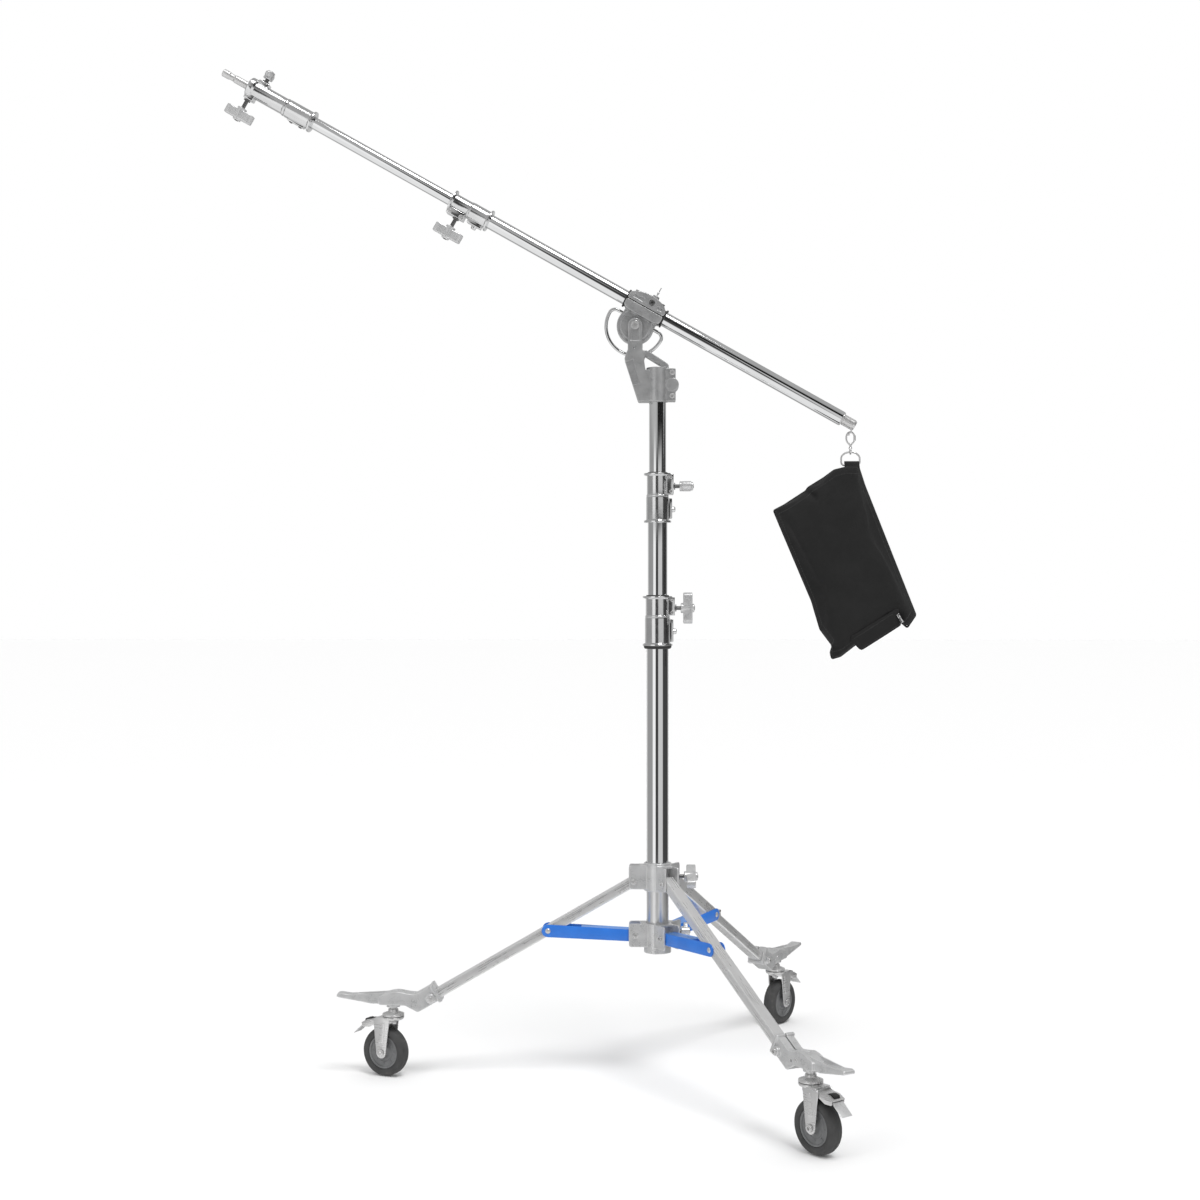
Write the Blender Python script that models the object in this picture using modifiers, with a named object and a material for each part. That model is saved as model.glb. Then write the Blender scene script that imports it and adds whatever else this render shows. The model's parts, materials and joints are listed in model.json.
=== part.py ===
"""A rolling studio boom stand: three folding legs on casters, two risers, a boom and its sandbag.

Metres, +Z up. The origin is the centre of the standing stand's outline, on the floor.
Each leg is built in a radial frame: X runs outwards from the column, Z up.
The boom is built in a frame at its tilt axis: X runs back down the boom, Z out from it.
"""

from math import atan2, cos, hypot, pi, radians, sin

import bmesh
import bpy
from mathutils import Euler, Matrix, Vector

# ---- driving dimensions ----
COLUMN_X = 0.1885  # the column stands this far from the middle of the outline
GAP = 0.0003  # between touching pieces
SIDES = 16  # of a round tube

BASE_RADIUS = 0.0225
RISER_1_RADIUS = 0.0200
RISER_2_RADIUS = 0.0175
BASE_WALL = 0.0015
BASE_BOTTOM, BASE_TOP = 0.2596, 0.9470
RISER_1_BOTTOM, RISER_1_TOP = 0.4200, 1.1960
RISER_2_BOTTOM, RISER_2_TOP = 0.5800, 1.4600

LEG_ANGLE = radians(30)  # below the horizontal
LEG_PIVOT = (0.0490, 0.4060)  # radius and height
BRACE_PIVOT = (0.0450, 0.2965)
BRACE_PIN_ALONG = 0.2035  # from the leg's pivot to the brace's pin
LEG_WIDTH, LEG_HEIGHT, LEG_WALL = 0.025, 0.020, 0.0015
SLEEVE_WIDTH, SLEEVE_HEIGHT = 0.030, 0.025
LUG_REACH, EAR = 0.0590, 0.0040  # the collar lugs' reach, and an ear's thickness
LEG_END = 0.497  # along the leg, inside the foot
SLEEVE_END = 0.226
INNER_LEG_TOP = 0.070
LEG_TOP = -0.0105  # the leg's upper end, behind its pivot
LEG_KNOB_SEAT = (0.0423, 0, 0.4160)
BRACE_KNOB_SEAT = (0.0403, 0, 0.3030)
STEM_RADIUS_OUT = 0.546  # the caster stems' distance from the column

LEGS = {"left": 180, "front": -60, "rear": 60}  # azimuths
TRAILS = {"left": 155, "front": -50, "rear": 53}  # azimuths of the trailing wheels

WHEEL_RADIUS, TYRE_WIDTH, TRAIL = 0.050, 0.030, 0.018
FORK_INSIDE, FORK_WALL = 0.0172, 0.0026

TILT_PIVOT = (-0.0460, 1.5470)  # x from the column, height
BOOM_SLOPE = radians(29.5)
BOOM_OFFSET = 0.042  # from the tilt axis to the boom's axis
BOOM_RADIUS, BOOM_INNER_RADIUS = 0.015, 0.0125
BOOM_REAR, BOOM_FRONT = 0.462, -0.4120
INNER_REAR, INNER_FRONT = 0.020, -0.8480
ARC_RADIUS = 0.060
PEDAL_PIVOT = (0.0300, 0, 0.1120)  # in the caster's frame
BAG_HALF = 0.030  # half of the bag's thickness

MAIN = bpy.data.collections.new("boom_stand")
CUTTERS = bpy.data.collections.new("cutters")


# ---- materials ----
def material(name, colour, roughness, metallic):
    made = bpy.data.materials.new(name)
    made.use_nodes = True
    shader = made.node_tree.nodes["Principled BSDF"]
    shader.inputs["Base Color"].default_value = (*colour, 1)
    shader.inputs["Roughness"].default_value = roughness
    shader.inputs["Metallic"].default_value = metallic
    return made


FINISHES = {
    "chrome": ((0.78, 0.79, 0.80), 0.12, 1.0),
    "satin": ((0.62, 0.62, 0.62), 0.38, 1.0),
    "casting": ((0.50, 0.50, 0.50), 0.45, 1.0),
    "paint": ((0.025, 0.20, 0.62), 0.35, 0.0),
    "tyre": ((0.055, 0.055, 0.057), 0.70, 0.0),
    "hub": ((0.19, 0.19, 0.19), 0.55, 0.0),
    "plastic": ((0.02, 0.02, 0.02), 0.50, 0.0),
    "fabric": ((0.012, 0.012, 0.013), 0.90, 0.0),
}


# ---- shapes ----
def new_object(name, mesh):
    obj = bpy.data.objects.new(name, mesh)
    CUTTERS.objects.link(obj)
    obj.hide_render = True
    obj.display_type = "WIRE"
    return obj


def baked(obj):
    """The object with its modifiers and its own transform applied to its mesh."""
    bpy.context.view_layer.update()
    graph = bpy.context.evaluated_depsgraph_get()
    mesh = bpy.data.meshes.new_from_object(obj.evaluated_get(graph))
    shape = bmesh.new()
    shape.from_mesh(mesh)
    bmesh.ops.remove_doubles(shape, verts=shape.verts, dist=1e-6)
    shape.transform(obj.matrix_basis)
    shape.to_mesh(mesh)
    shape.free()
    made = new_object(obj.name, mesh)
    bpy.data.objects.remove(obj)
    return made


def box(low, high, turn=0.0, about=(0, 0)):
    """A box between two corners, turned about the Y axis through the point about (x, z)."""
    low, high = Vector(low), Vector(high)
    shape = bmesh.new()
    bmesh.ops.create_cube(shape, size=1)
    shape.transform(Matrix.Translation((low + high) / 2) @ Matrix.Diagonal((*(high - low), 1)))
    centre = Vector((about[0], 0, about[1]))
    spin = Matrix.Translation(centre) @ Matrix.Rotation(turn, 4, "Y") @ Matrix.Translation(-centre)
    shape.transform(spin)
    mesh = bpy.data.meshes.new("box")
    shape.to_mesh(mesh)
    shape.free()
    return new_object("box", mesh)


def cylinder(start, end, radius, sides=16, far_radius=None):
    """A cylinder or a cone between two points."""
    start, end = Vector(start), Vector(end)
    shape = bmesh.new()
    bmesh.ops.create_cone(
        shape,
        cap_ends=True,
        segments=sides,
        radius1=radius,
        radius2=radius if far_radius is None else far_radius,
        depth=(end - start).length,
    )
    turn = (end - start).to_track_quat("Z", "Y").to_matrix().to_4x4()
    shape.transform(Matrix.Translation((start + end) / 2) @ turn)
    mesh = bpy.data.meshes.new("cylinder")
    shape.to_mesh(mesh)
    shape.free()
    return new_object("cylinder", mesh)


def turned(profile, sides=SIDES, closed=False, along="Z"):
    """A turned shape: (radius, height) pairs from the top down the outer side."""
    mesh = bpy.data.meshes.new("profile")
    points = [(radius, 0, height) for radius, height in profile]
    edges = [(i, i + 1) for i in range(len(points) - 1)]
    if closed:
        edges.append((len(points) - 1, 0))
    mesh.from_pydata(points, edges, [])
    obj = new_object("turned", mesh)
    screw = obj.modifiers.new("turn", "SCREW")
    screw.steps = screw.render_steps = sides
    screw.use_merge_vertices = True
    screw.merge_threshold = 1e-5
    screw.use_smooth_shade = False
    if along == "X":
        obj.rotation_euler = (0, pi / 2, 0)
    return baked(obj)


def tube(radius, wall, bottom, top, sides=SIDES, along="Z"):
    inner = radius - wall
    loop = [(inner, top), (radius, top), (radius, bottom), (inner, bottom)]
    return turned(loop, sides, closed=True, along=along)


def plate(outline, low_y, high_y, bevel=0.0):
    """An outline of (x, z) points made as thick as the span low_y to high_y."""
    curve = bpy.data.curves.new("outline", "CURVE")
    curve.dimensions = "2D"
    curve.fill_mode = "BOTH"
    curve.extrude = (high_y - low_y) / 2
    spline = curve.splines.new("POLY")
    spline.points.add(len(outline) - 1)
    for point, (x, z) in zip(spline.points, outline):
        point.co = (x, z, 0, 1)
    spline.use_cyclic_u = True
    obj = bpy.data.objects.new("plate", curve)
    CUTTERS.objects.link(obj)
    obj.rotation_euler = (pi / 2, 0, 0)
    obj.location = (0, (low_y + high_y) / 2, 0)
    flat = baked(obj)
    if bevel:
        edge = flat.modifiers.new("edges", "BEVEL")
        edge.width = bevel
        edge.segments = 1
        edge.limit_method = "ANGLE"
        edge.angle_limit = radians(50)
        flat = baked(flat)
    return flat


def rod(points, radius, closed=False):
    """A round bar through the points."""
    curve = bpy.data.curves.new("rod", "CURVE")
    curve.dimensions = "3D"
    curve.bevel_depth = radius
    curve.bevel_resolution = 2
    curve.use_fill_caps = True
    spline = curve.splines.new("POLY")
    spline.points.add(len(points) - 1)
    for point, place in zip(spline.points, points):
        point.co = (*place, 1)
    spline.use_cyclic_u = closed
    obj = bpy.data.objects.new("rod", curve)
    CUTTERS.objects.link(obj)
    return baked(obj)


def combine(target, others, operation):
    for other in others:
        step = target.modifiers.new(operation.lower(), "BOOLEAN")
        step.operation = operation
        step.solver = "MANIFOLD"  # the exact solver leaves gaps where faces nearly meet
        step.object = other
        target = baked(target)
        bpy.data.objects.remove(other)
    return target


def cut(target, *cutters):
    return combine(target, cutters, "DIFFERENCE")


def join(target, *others):
    return combine(target, others, "UNION")


def arc(centre, radius, start, end, steps):
    """Points on a circle from one angle to another, in degrees."""
    return [
        (
            centre[0] + radius * cos(radians(start + (end - start) * i / steps)),
            centre[1] + radius * sin(radians(start + (end - start) * i / steps)),
        )
        for i in range(steps + 1)
    ]


def empty(name, parent, location=(0, 0, 0), rotation=(0, 0, 0)):
    made = bpy.data.objects.new(name, None)
    MAIN.objects.link(made)
    made.parent = parent
    made.location = location
    made.rotation_euler = rotation
    return made


def place(name, mesh, parent, location=(0, 0, 0), rotation=(0, 0, 0)):
    obj = bpy.data.objects.new(name, mesh)
    MAIN.objects.link(obj)
    obj.parent = parent
    obj.location = location
    obj.rotation_euler = rotation
    return obj


def finished(shape, finish):
    """The mesh of a finished shape, with its material and its sharp edges marked."""
    mesh = shape.data
    mesh.materials.clear()
    mesh.materials.append(MATERIALS[finish])
    mesh.shade_smooth()
    mesh.set_sharp_from_angle(angle=radians(35))
    bpy.data.objects.remove(shape)
    return mesh


def part(name, shape, finish, parent, origin=(0, 0, 0)):
    """Names a shape that was made in its parent's frame, and puts its origin at that point."""
    shape.data.transform(Matrix.Translation(-Vector(origin)))
    return place(name, finished(shape, finish), parent, origin)


# ---- knobs ----
def t_knob(reach, bar_length=0.064, bar_height=0.018, hub=0.028):
    """A T-shaped clamp knob, pointing along +Z, with its seat at Z = 0 and its bar along X."""
    half, low = bar_length / 2, reach + 0.005
    stud = cylinder((0, 0, -0.009), (0, 0, reach + 0.004), 0.004, 8)
    neck = cylinder((0, 0, 0.0008), (0, 0, reach + 0.002), 0.0075, 10)
    boss = cylinder((0, 0, reach), (0, 0, reach + hub), 0.0110, 10, 0.0095)
    ends = arc((half - bar_height / 2, 0), bar_height / 2, -90, 90, 4)
    outline = ends + [(-x, -y) for x, y in ends]
    wings = plate(outline, -low - hub + 0.009, -low)
    wings.data.transform(Matrix.Rotation(-pi / 2, 4, "X"))
    return join(boss, wings, neck, stud)


def place_knob(name, mesh, parent, seat, direction, spin):
    """Puts a knob on its seat, pointing along direction, with its bar turned by spin degrees."""
    bar = Matrix.Rotation(radians(spin), 3, "Z")
    turn = Vector(direction).to_track_quat("Z", "Y").to_matrix() @ bar
    return place(name, mesh, parent, seat, turn.to_euler())


# ---- column ----
def collar_body(length, split, lower_bore, upper_bore):
    """A clamp collar standing on Z = 0: two barrels, three flanges, and a clamp block at +X."""
    lower, upper, lip = lower_bore + 0.0031, lower_bore + 0.0016, lower_bore + 0.0078
    profile = [
        (upper_bore, length), (lip, length), (lip, length - 0.0035), (upper, length - 0.0055),
        (upper, split + 0.0025), (lower, split + 0.0015), (lower, 0.0055), (lip, 0.0035), (lip, 0),
        (lower_bore, 0), (lower_bore, split - 0.001), (upper_bore, split - 0.001),
    ]
    shell = turned(profile, closed=True)
    inner = (lower_bore + upper_bore) / 2 + 0.0008
    block = box((inner, -0.013, split + 0.002), (lower_bore + 0.0125, 0.013, length - 0.001))
    pad = box((inner, -0.008, 0.008), (lower_bore + 0.0095, 0.008, split - 0.004))
    dome = cylinder((inner + 0.002, 0, split / 2), (lower_bore + 0.0165, 0, split / 2), 0.0070, 8, 0.0040)
    body = join(shell, block, pad, dome)
    bore = cylinder((0, 0, -0.01), (0, 0, split - 0.001), lower_bore, SIDES)
    bore_2 = cylinder((0, 0, split - 0.002), (0, 0, length + 0.01), upper_bore, SIDES)
    knob_height = (split + length) / 2 - 0.003
    knob_hole = cylinder((upper_bore - 0.003, 0, knob_height), (0.06, 0, knob_height), 0.0045, 8)
    return cut(body, bore, bore_2, knob_hole)


def build_column(root):
    part("base_tube", tube(BASE_RADIUS, BASE_WALL, BASE_BOTTOM, BASE_TOP), "chrome", root)
    part("riser_1", tube(RISER_1_RADIUS, BASE_WALL, RISER_1_BOTTOM, RISER_1_TOP), "chrome", root)
    part("riser_2", tube(RISER_2_RADIUS, BASE_WALL, RISER_2_BOTTOM, RISER_2_TOP), "chrome", root)
    for name, bottom, split, top, lower, upper, spin in (
        ("base_collar", 0.8900, 0.9490, 0.9920, BASE_RADIUS, RISER_1_RADIUS, 90),
        ("riser_collar", 1.1433, 1.1974, 1.2444, RISER_1_RADIUS, RISER_2_RADIUS, 0),
    ):
        shape = collar_body(top - bottom, split - bottom, lower + GAP, upper + 2 * GAP)
        place_at = empty(name + "_seat", root, (0, 0, bottom))
        part(name, shape, "casting", place_at)
        seat_x = lower + GAP + 0.0125 + GAP
        height = (split - bottom + top - bottom) / 2 - 0.003
        place_knob(name + "_knob", KNOB, place_at, (seat_x, 0, height), (1, 0, 0), spin)


# ---- legs ----
def lug_ears(inner_gap, low_z, high_z, drilled_at):
    """Two ears that stand out along +X, with a hole through both where one is asked for."""
    ears = []
    for side in (-1, 1):
        near, far = side * inner_gap / 2, side * (inner_gap / 2 + EAR)
        ear = box((0.0120, min(near, far), low_z), (LUG_REACH, max(near, far), high_z))
        if drilled_at:
            ear = cut(ear, cross_pin(drilled_at, 0.03, 0.0032))
        ears.append(ear)
    return ears


def cross_pin(centre, half, radius, sides=12):
    """A cylinder along Y about a point (x, z)."""
    return cylinder((centre[0], -half, centre[1]), (centre[0], half, centre[1]), radius, sides)


def widths(leg):
    """The width and height of what pivots at the leg's top, and of the brace around it."""
    width = SLEEVE_WIDTH if leg == "rear" else LEG_WIDTH
    height = SLEEVE_HEIGHT if leg == "rear" else LEG_HEIGHT
    return width, height, width + 2 * (GAP + 0.0003 + 0.002)


def turned_about_column(obj, azimuth):
    obj.data.transform(Matrix.Rotation(radians(azimuth), 4, "Z"))
    return obj


def lug_collar(bottom, top, lug_low, lug_high, ear_gaps, drilled_at):
    bore = BASE_RADIUS + GAP
    body = turned([(bore, top), (0.0275, top), (0.0275, bottom), (bore, bottom)], closed=True)
    for leg, azimuth in LEGS.items():
        ears = lug_ears(ear_gaps[leg], lug_low, lug_high, drilled_at)
        body = join(body, *[turned_about_column(ear, azimuth) for ear in ears])
    return body


def build_collars(root):
    pivots = {leg: widths(leg)[0] + 2 * GAP for leg in LEGS}
    body = lug_collar(0.3870, 0.4445, 0.3910, 0.4395, pivots, LEG_PIVOT)
    boss = cylinder((0.0240, 0, 0.4160), (0.0420, 0, 0.4160), 0.0095, 14)
    hole = cylinder((0.0210, 0, 0.4160), (0.0520, 0, 0.4160), 0.0045, 8)
    bore = cylinder((0, 0, 0.38), (0, 0, 0.45), BASE_RADIUS + GAP, SIDES)
    part("leg_collar", cut(join(body, boss), bore, hole), "casting", root)
    place_knob("leg_collar_knob", KNOB, root, LEG_KNOB_SEAT, (1, 0, 0), 32)

    pivots = {leg: widths(leg)[2] + 2 * GAP for leg in LEGS}
    body = lug_collar(0.2600, 0.3210, 0.2730, 0.3210, pivots, None)
    for leg, azimuth in LEGS.items():
        outside = pivots[leg] / 2 + EAR
        heads = cross_pin(BRACE_PIVOT, outside + 0.004, 0.0055)
        heads = cut(heads, cross_pin(BRACE_PIVOT, outside - 0.001, 0.0070))
        bolt = join(cross_pin(BRACE_PIVOT, outside + 0.002, 0.0029), heads)
        body = join(body, turned_about_column(bolt, azimuth))
    boss = cylinder((0.0240, 0, 0.3030), (0.0400, 0, 0.3030), 0.0075, 14)
    hole = cylinder((0.0230, 0, 0.3030), (0.0520, 0, 0.3030), 0.0045, 8)
    bore = cylinder((0, 0, 0.25), (0, 0, 0.33), BASE_RADIUS + GAP, SIDES)
    part("brace_collar", cut(join(body, boss), bore, hole), "casting", root)
    place_knob("brace_collar_knob", SMALL_KNOB, root, BRACE_KNOB_SEAT, (1, 0, 0), 60)


def square_tube(width, height, wall, start, end):
    """A rectangular tube along +X from its pivot at the origin."""
    outer = box((start, -width / 2, -height / 2), (end, width / 2, height / 2))
    inner = box((start - 0.01, -width / 2 + wall, -height / 2 + wall),
                (end + 0.01, width / 2 - wall, height / 2 - wall))
    return cut(outer, inner)


def pivot_bolt(span):
    """A bolt along Y through both ears, its head and nut outside them."""
    edge = span / 2 + 0.0003
    shank = cylinder((0, -edge - 0.001, 0), (0, edge + 0.001, 0), 0.0029, 12)
    head = cylinder((0, -edge - 0.0040, 0), (0, -edge, 0), 0.0055, 12)
    nut = cylinder((0, edge, 0), (0, edge + 0.0045, 0), 0.0055, 6)
    return join(shank, head, nut)


def brace_shape(leg):
    """A channel along +X with its web on top, cut back where the leg passes through it."""
    outer, half = widths(leg)[2], 0.0130
    pin = brace_pin()
    length = hypot(pin[0] - BRACE_PIVOT[0], pin[1] - BRACE_PIVOT[1])
    near = arc((0, -0.001), half - 0.001, 90, 270, 6)
    far = arc((length, 0), half, -90, 90, 6)
    side = plate(near + far, -outer / 2, outer / 2)
    inside = box((-0.05, -outer / 2 + 0.002, -0.05), (length + 0.05, outer / 2 - 0.002, half - 0.002))
    opening = box((length - 0.068, -outer / 2 + 0.002, 0), (length + 0.05, outer / 2 - 0.002, 0.05))
    start = box((-0.05, -outer / 2 + 0.002, 0), (0.004, outer / 2 - 0.002, 0.05))
    hole = cylinder((0, -0.03, 0), (0, 0.03, 0), 0.0032, 12)
    channel = cut(side, inside, opening, start, hole)
    for s in (-1, 1):
        low, high = s * (outer / 2 - 0.001), s * (outer / 2 + 0.003)
        channel = join(channel, cylinder((length, low, 0), (length, high, 0), 0.0055, 8, 0.0035))
    return channel


def brace_pin():
    return (
        LEG_PIVOT[0] + BRACE_PIN_ALONG * cos(LEG_ANGLE),
        LEG_PIVOT[1] - BRACE_PIN_ALONG * sin(LEG_ANGLE),
    )


def leg_point(along, above=0.0):
    """A place along a leg and above its middle line, as its radius and height."""
    return (
        LEG_PIVOT[0] + along * cos(LEG_ANGLE) + above * sin(LEG_ANGLE),
        LEG_PIVOT[1] - along * sin(LEG_ANGLE) + above * cos(LEG_ANGLE),
    )


def on_leg(shape):
    """Turns a shape that was made along +X from a leg's pivot into the radial frame."""
    shape.data.transform(Matrix.Rotation(LEG_ANGLE, 4, "Y"))
    shape.data.transform(Matrix.Translation((LEG_PIVOT[0], 0, LEG_PIVOT[1])))
    return shape


def foot_shape():
    """The casting on a leg's end, in the radial frame: socket, caster boss and toe."""
    top = [leg_point(0.470, 0.0215), leg_point(0.506, 0.0215)]
    hump = [(0.5150, 0.1735), (0.5360, 0.1775), (0.5520, 0.1750), (0.5750, 0.1660)]
    under = [(0.5750, 0.1500), (0.5200, 0.1490), leg_point(0.520, -0.0125), leg_point(0.470, -0.0125)]
    body = plate(top + hump + under, -0.0170, 0.0170)
    toe_outline = [(0.5600, 0.1660), (0.5900, 0.1640), (0.6560, 0.1730), (0.6620, 0.1710),
                   (0.6625, 0.1655), (0.6580, 0.1640), (0.5900, 0.1515), (0.5600, 0.1510)]
    toe = plate(toe_outline, -0.0120, 0.0120)
    lip = on_leg(box((0.464, -0.0200, -0.0175), (0.4715, 0.0200, 0.0245)))
    boss = cross_pin((0.4665, 0.1640), 0.0250, 0.0090, 14)
    stem_boss = cylinder((STEM_RADIUS_OUT, 0, 0.1435), (STEM_RADIUS_OUT, 0, 0.1650), 0.0140, 16)
    body = join(body, toe, lip, boss, stem_boss)
    side, height = LEG_WIDTH / 2 + GAP, LEG_HEIGHT / 2 + GAP
    socket = on_leg(box((0.40, -side, -height), (LEG_END + GAP, side, height)))
    stem_hole = cylinder((STEM_RADIUS_OUT, 0, 0.13), (STEM_RADIUS_OUT, 0, 0.1653), 0.0083, 16)
    return cut(body, socket, stem_hole)


def build_leg(leg, azimuth, root, shared):
    width, height, _ = widths(leg)
    radial = empty(leg + "_leg_frame", root, rotation=(0, 0, radians(azimuth)))
    pivot = (LEG_PIVOT[0], 0, LEG_PIVOT[1])
    hinge = empty(leg + "_leg_hinge", radial, pivot, (0, LEG_ANGLE, 0))
    hole = cylinder((0, -0.03, 0), (0, 0.03, 0), 0.0032, 12)
    if leg == "rear":
        sleeve = cut(square_tube(width, height, 0.002, LEG_TOP, SLEEVE_END), hole)
        lip = box((SLEEVE_END - 0.014, -0.0145, 0.0100), (SLEEVE_END - 0.001, 0.0145, 0.0170))
        half_width, half_height = width / 2 - 0.002, height / 2 - 0.002
        passage = box((0, -half_width, -half_height), (0.4, half_width, half_height))
        part("rear_leg_sleeve", cut(join(sleeve, lip), passage), "satin", hinge)
        inner = square_tube(LEG_WIDTH, LEG_HEIGHT, LEG_WALL, INNER_LEG_TOP, LEG_END)
        part("rear_leg_inner", inner, "satin", hinge, (INNER_LEG_TOP, 0, 0))
    else:
        leg_tube = cut(square_tube(width, height, LEG_WALL, LEG_TOP, LEG_END), hole)
        part(leg + "_leg", leg_tube, "satin", hinge)
    bolt = part(leg + "_leg_bolt", pivot_bolt(width + 2 * GAP + 2 * EAR), "satin", radial)
    bolt.location = pivot

    pin = brace_pin()
    rise = atan2(pin[1] - BRACE_PIVOT[1], pin[0] - BRACE_PIVOT[0])
    brace_place = (BRACE_PIVOT[0], 0, BRACE_PIVOT[1])
    brace_hinge = empty(leg + "_brace_hinge", radial, brace_place, (0, -rise, 0))
    part(leg + "_brace", brace_shape(leg), "paint", brace_hinge)
    level = Euler((0, -LEG_ANGLE, 0))
    foot_frame = empty(leg + "_foot_frame", hinge, level.to_matrix() @ -Vector(pivot), level)
    place(leg + "_foot", shared["foot"], foot_frame)
    build_caster(leg, foot_frame, radians(TRAILS[leg] - azimuth), shared)


# ---- casters ----
def caster_shapes():
    """One caster about its stem: X runs back to the trailing wheel, Z is height."""
    disc = 0.0225
    stem = turned([(0, 0.1650), (0.0080, 0.1650), (0.0080, 0.1330), (disc, 0.1305),
                   (disc, 0.1250), (0.0050, 0.1250), (0.0050, 0.1075), (0, 0.1075)], 12)
    top_plate = turned([(0.0054, 0.1244), (disc, 0.1244), (disc, 0.1180), (0.0054, 0.1180)], 12, True)
    sides = []
    for s in (-1, 1):
        low, high = FORK_INSIDE, FORK_INSIDE + FORK_WALL
        end = arc((TRAIL, WHEEL_RADIUS), 0.0115, 180, 360, 6)
        outline = [(0.0365, 0.1160), (0.0300, 0.1225), (-0.0020, 0.1225), (0.0015, 0.0900)] + end
        y0, y1 = (low, high) if s > 0 else (-high, -low)
        sides.append(plate(outline, y0, y1))
    bridge = box((-0.004, -FORK_INSIDE - 0.001, 0.1180), (0.0300, FORK_INSIDE + 0.001, 0.1225))
    fork = join(top_plate, bridge, *sides)
    king_hole = cylinder((0, 0, 0.10), (0, 0, 0.13), 0.0054, 12)
    axle_hole = cylinder((TRAIL, -0.03, WHEEL_RADIUS), (TRAIL, 0.03, WHEEL_RADIUS), 0.0044, 8)
    pedal_hole = cylinder((0.0300, -0.03, 0.1120), (0.0300, 0.03, 0.1120), 0.0024, 8)
    fork = cut(fork, king_hole, axle_hole, pedal_hole)

    half = TYRE_WIDTH / 2
    tyre_profile = [(0.0345, half - 0.002), (0.0430, half), (WHEEL_RADIUS, 0.008), (WHEEL_RADIUS, -0.008),
                    (0.0430, -half), (0.0345, -half + 0.002)]
    hub_profile = [(0.0044, 0.0165), (0.0110, 0.0165), (0.0120, 0.0090), (0.0342, 0.0110),
                   (0.0342, -0.0110), (0.0120, -0.0090), (0.0110, -0.0165), (0.0044, -0.0165)]
    edge = FORK_INSIDE + FORK_WALL + GAP
    axle = join(
        cylinder((0, -edge - 0.001, 0), (0, edge + 0.001, 0), 0.0040, 8),
        cylinder((0, -edge - 0.0040, 0), (0, -edge, 0), 0.0070, 6),
        cylinder((0, edge, 0), (0, edge + 0.0050, 0), 0.0070, 6),
    )
    pedal_outline = [(0.0245, 0.1155), (0.0340, 0.1165), (0.0560, 0.1145), (0.0690, 0.1080),
                     (0.0700, 0.1030), (0.0900, 0.0840), (0.0885, 0.0822), (0.0660, 0.0985),
                     (0.0500, 0.0985), (0.0380, 0.1050), (0.0245, 0.1075)]
    pedal = plate(pedal_outline, -0.0163, 0.0163)
    pin = cross_pin((PEDAL_PIVOT[0], PEDAL_PIVOT[2]), 0.0190, 0.0020, 8)
    wheel_turn = Matrix.Rotation(-pi / 2, 4, "X")
    tyre, hub = turned(tyre_profile, 24, True), turned(hub_profile, 16, True)
    for wheel_piece in (tyre, hub):
        wheel_piece.data.transform(wheel_turn)
    return {"stem": stem, "fork": fork, "tyre": tyre, "hub": hub, "axle": axle, "pedal": join(pedal, pin)}


CASTER_FINISH = {
    "stem": "satin", "fork": "satin", "tyre": "tyre", "hub": "hub", "axle": "satin", "pedal": "satin",
}


def build_caster(leg, radial, trail_turn, shared):
    caster = empty(leg + "_caster_axis", radial, (STEM_RADIUS_OUT, 0, 0), (0, 0, trail_turn))
    wheel_centre = (TRAIL, 0, WHEEL_RADIUS)
    places = {"stem": (0, 0, 0), "fork": (0, 0, 0), "tyre": wheel_centre, "hub": wheel_centre,
              "axle": wheel_centre, "pedal": PEDAL_PIVOT}
    for piece, location in places.items():
        place(f"{leg}_caster_{piece}", shared[piece], caster, location)


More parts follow.
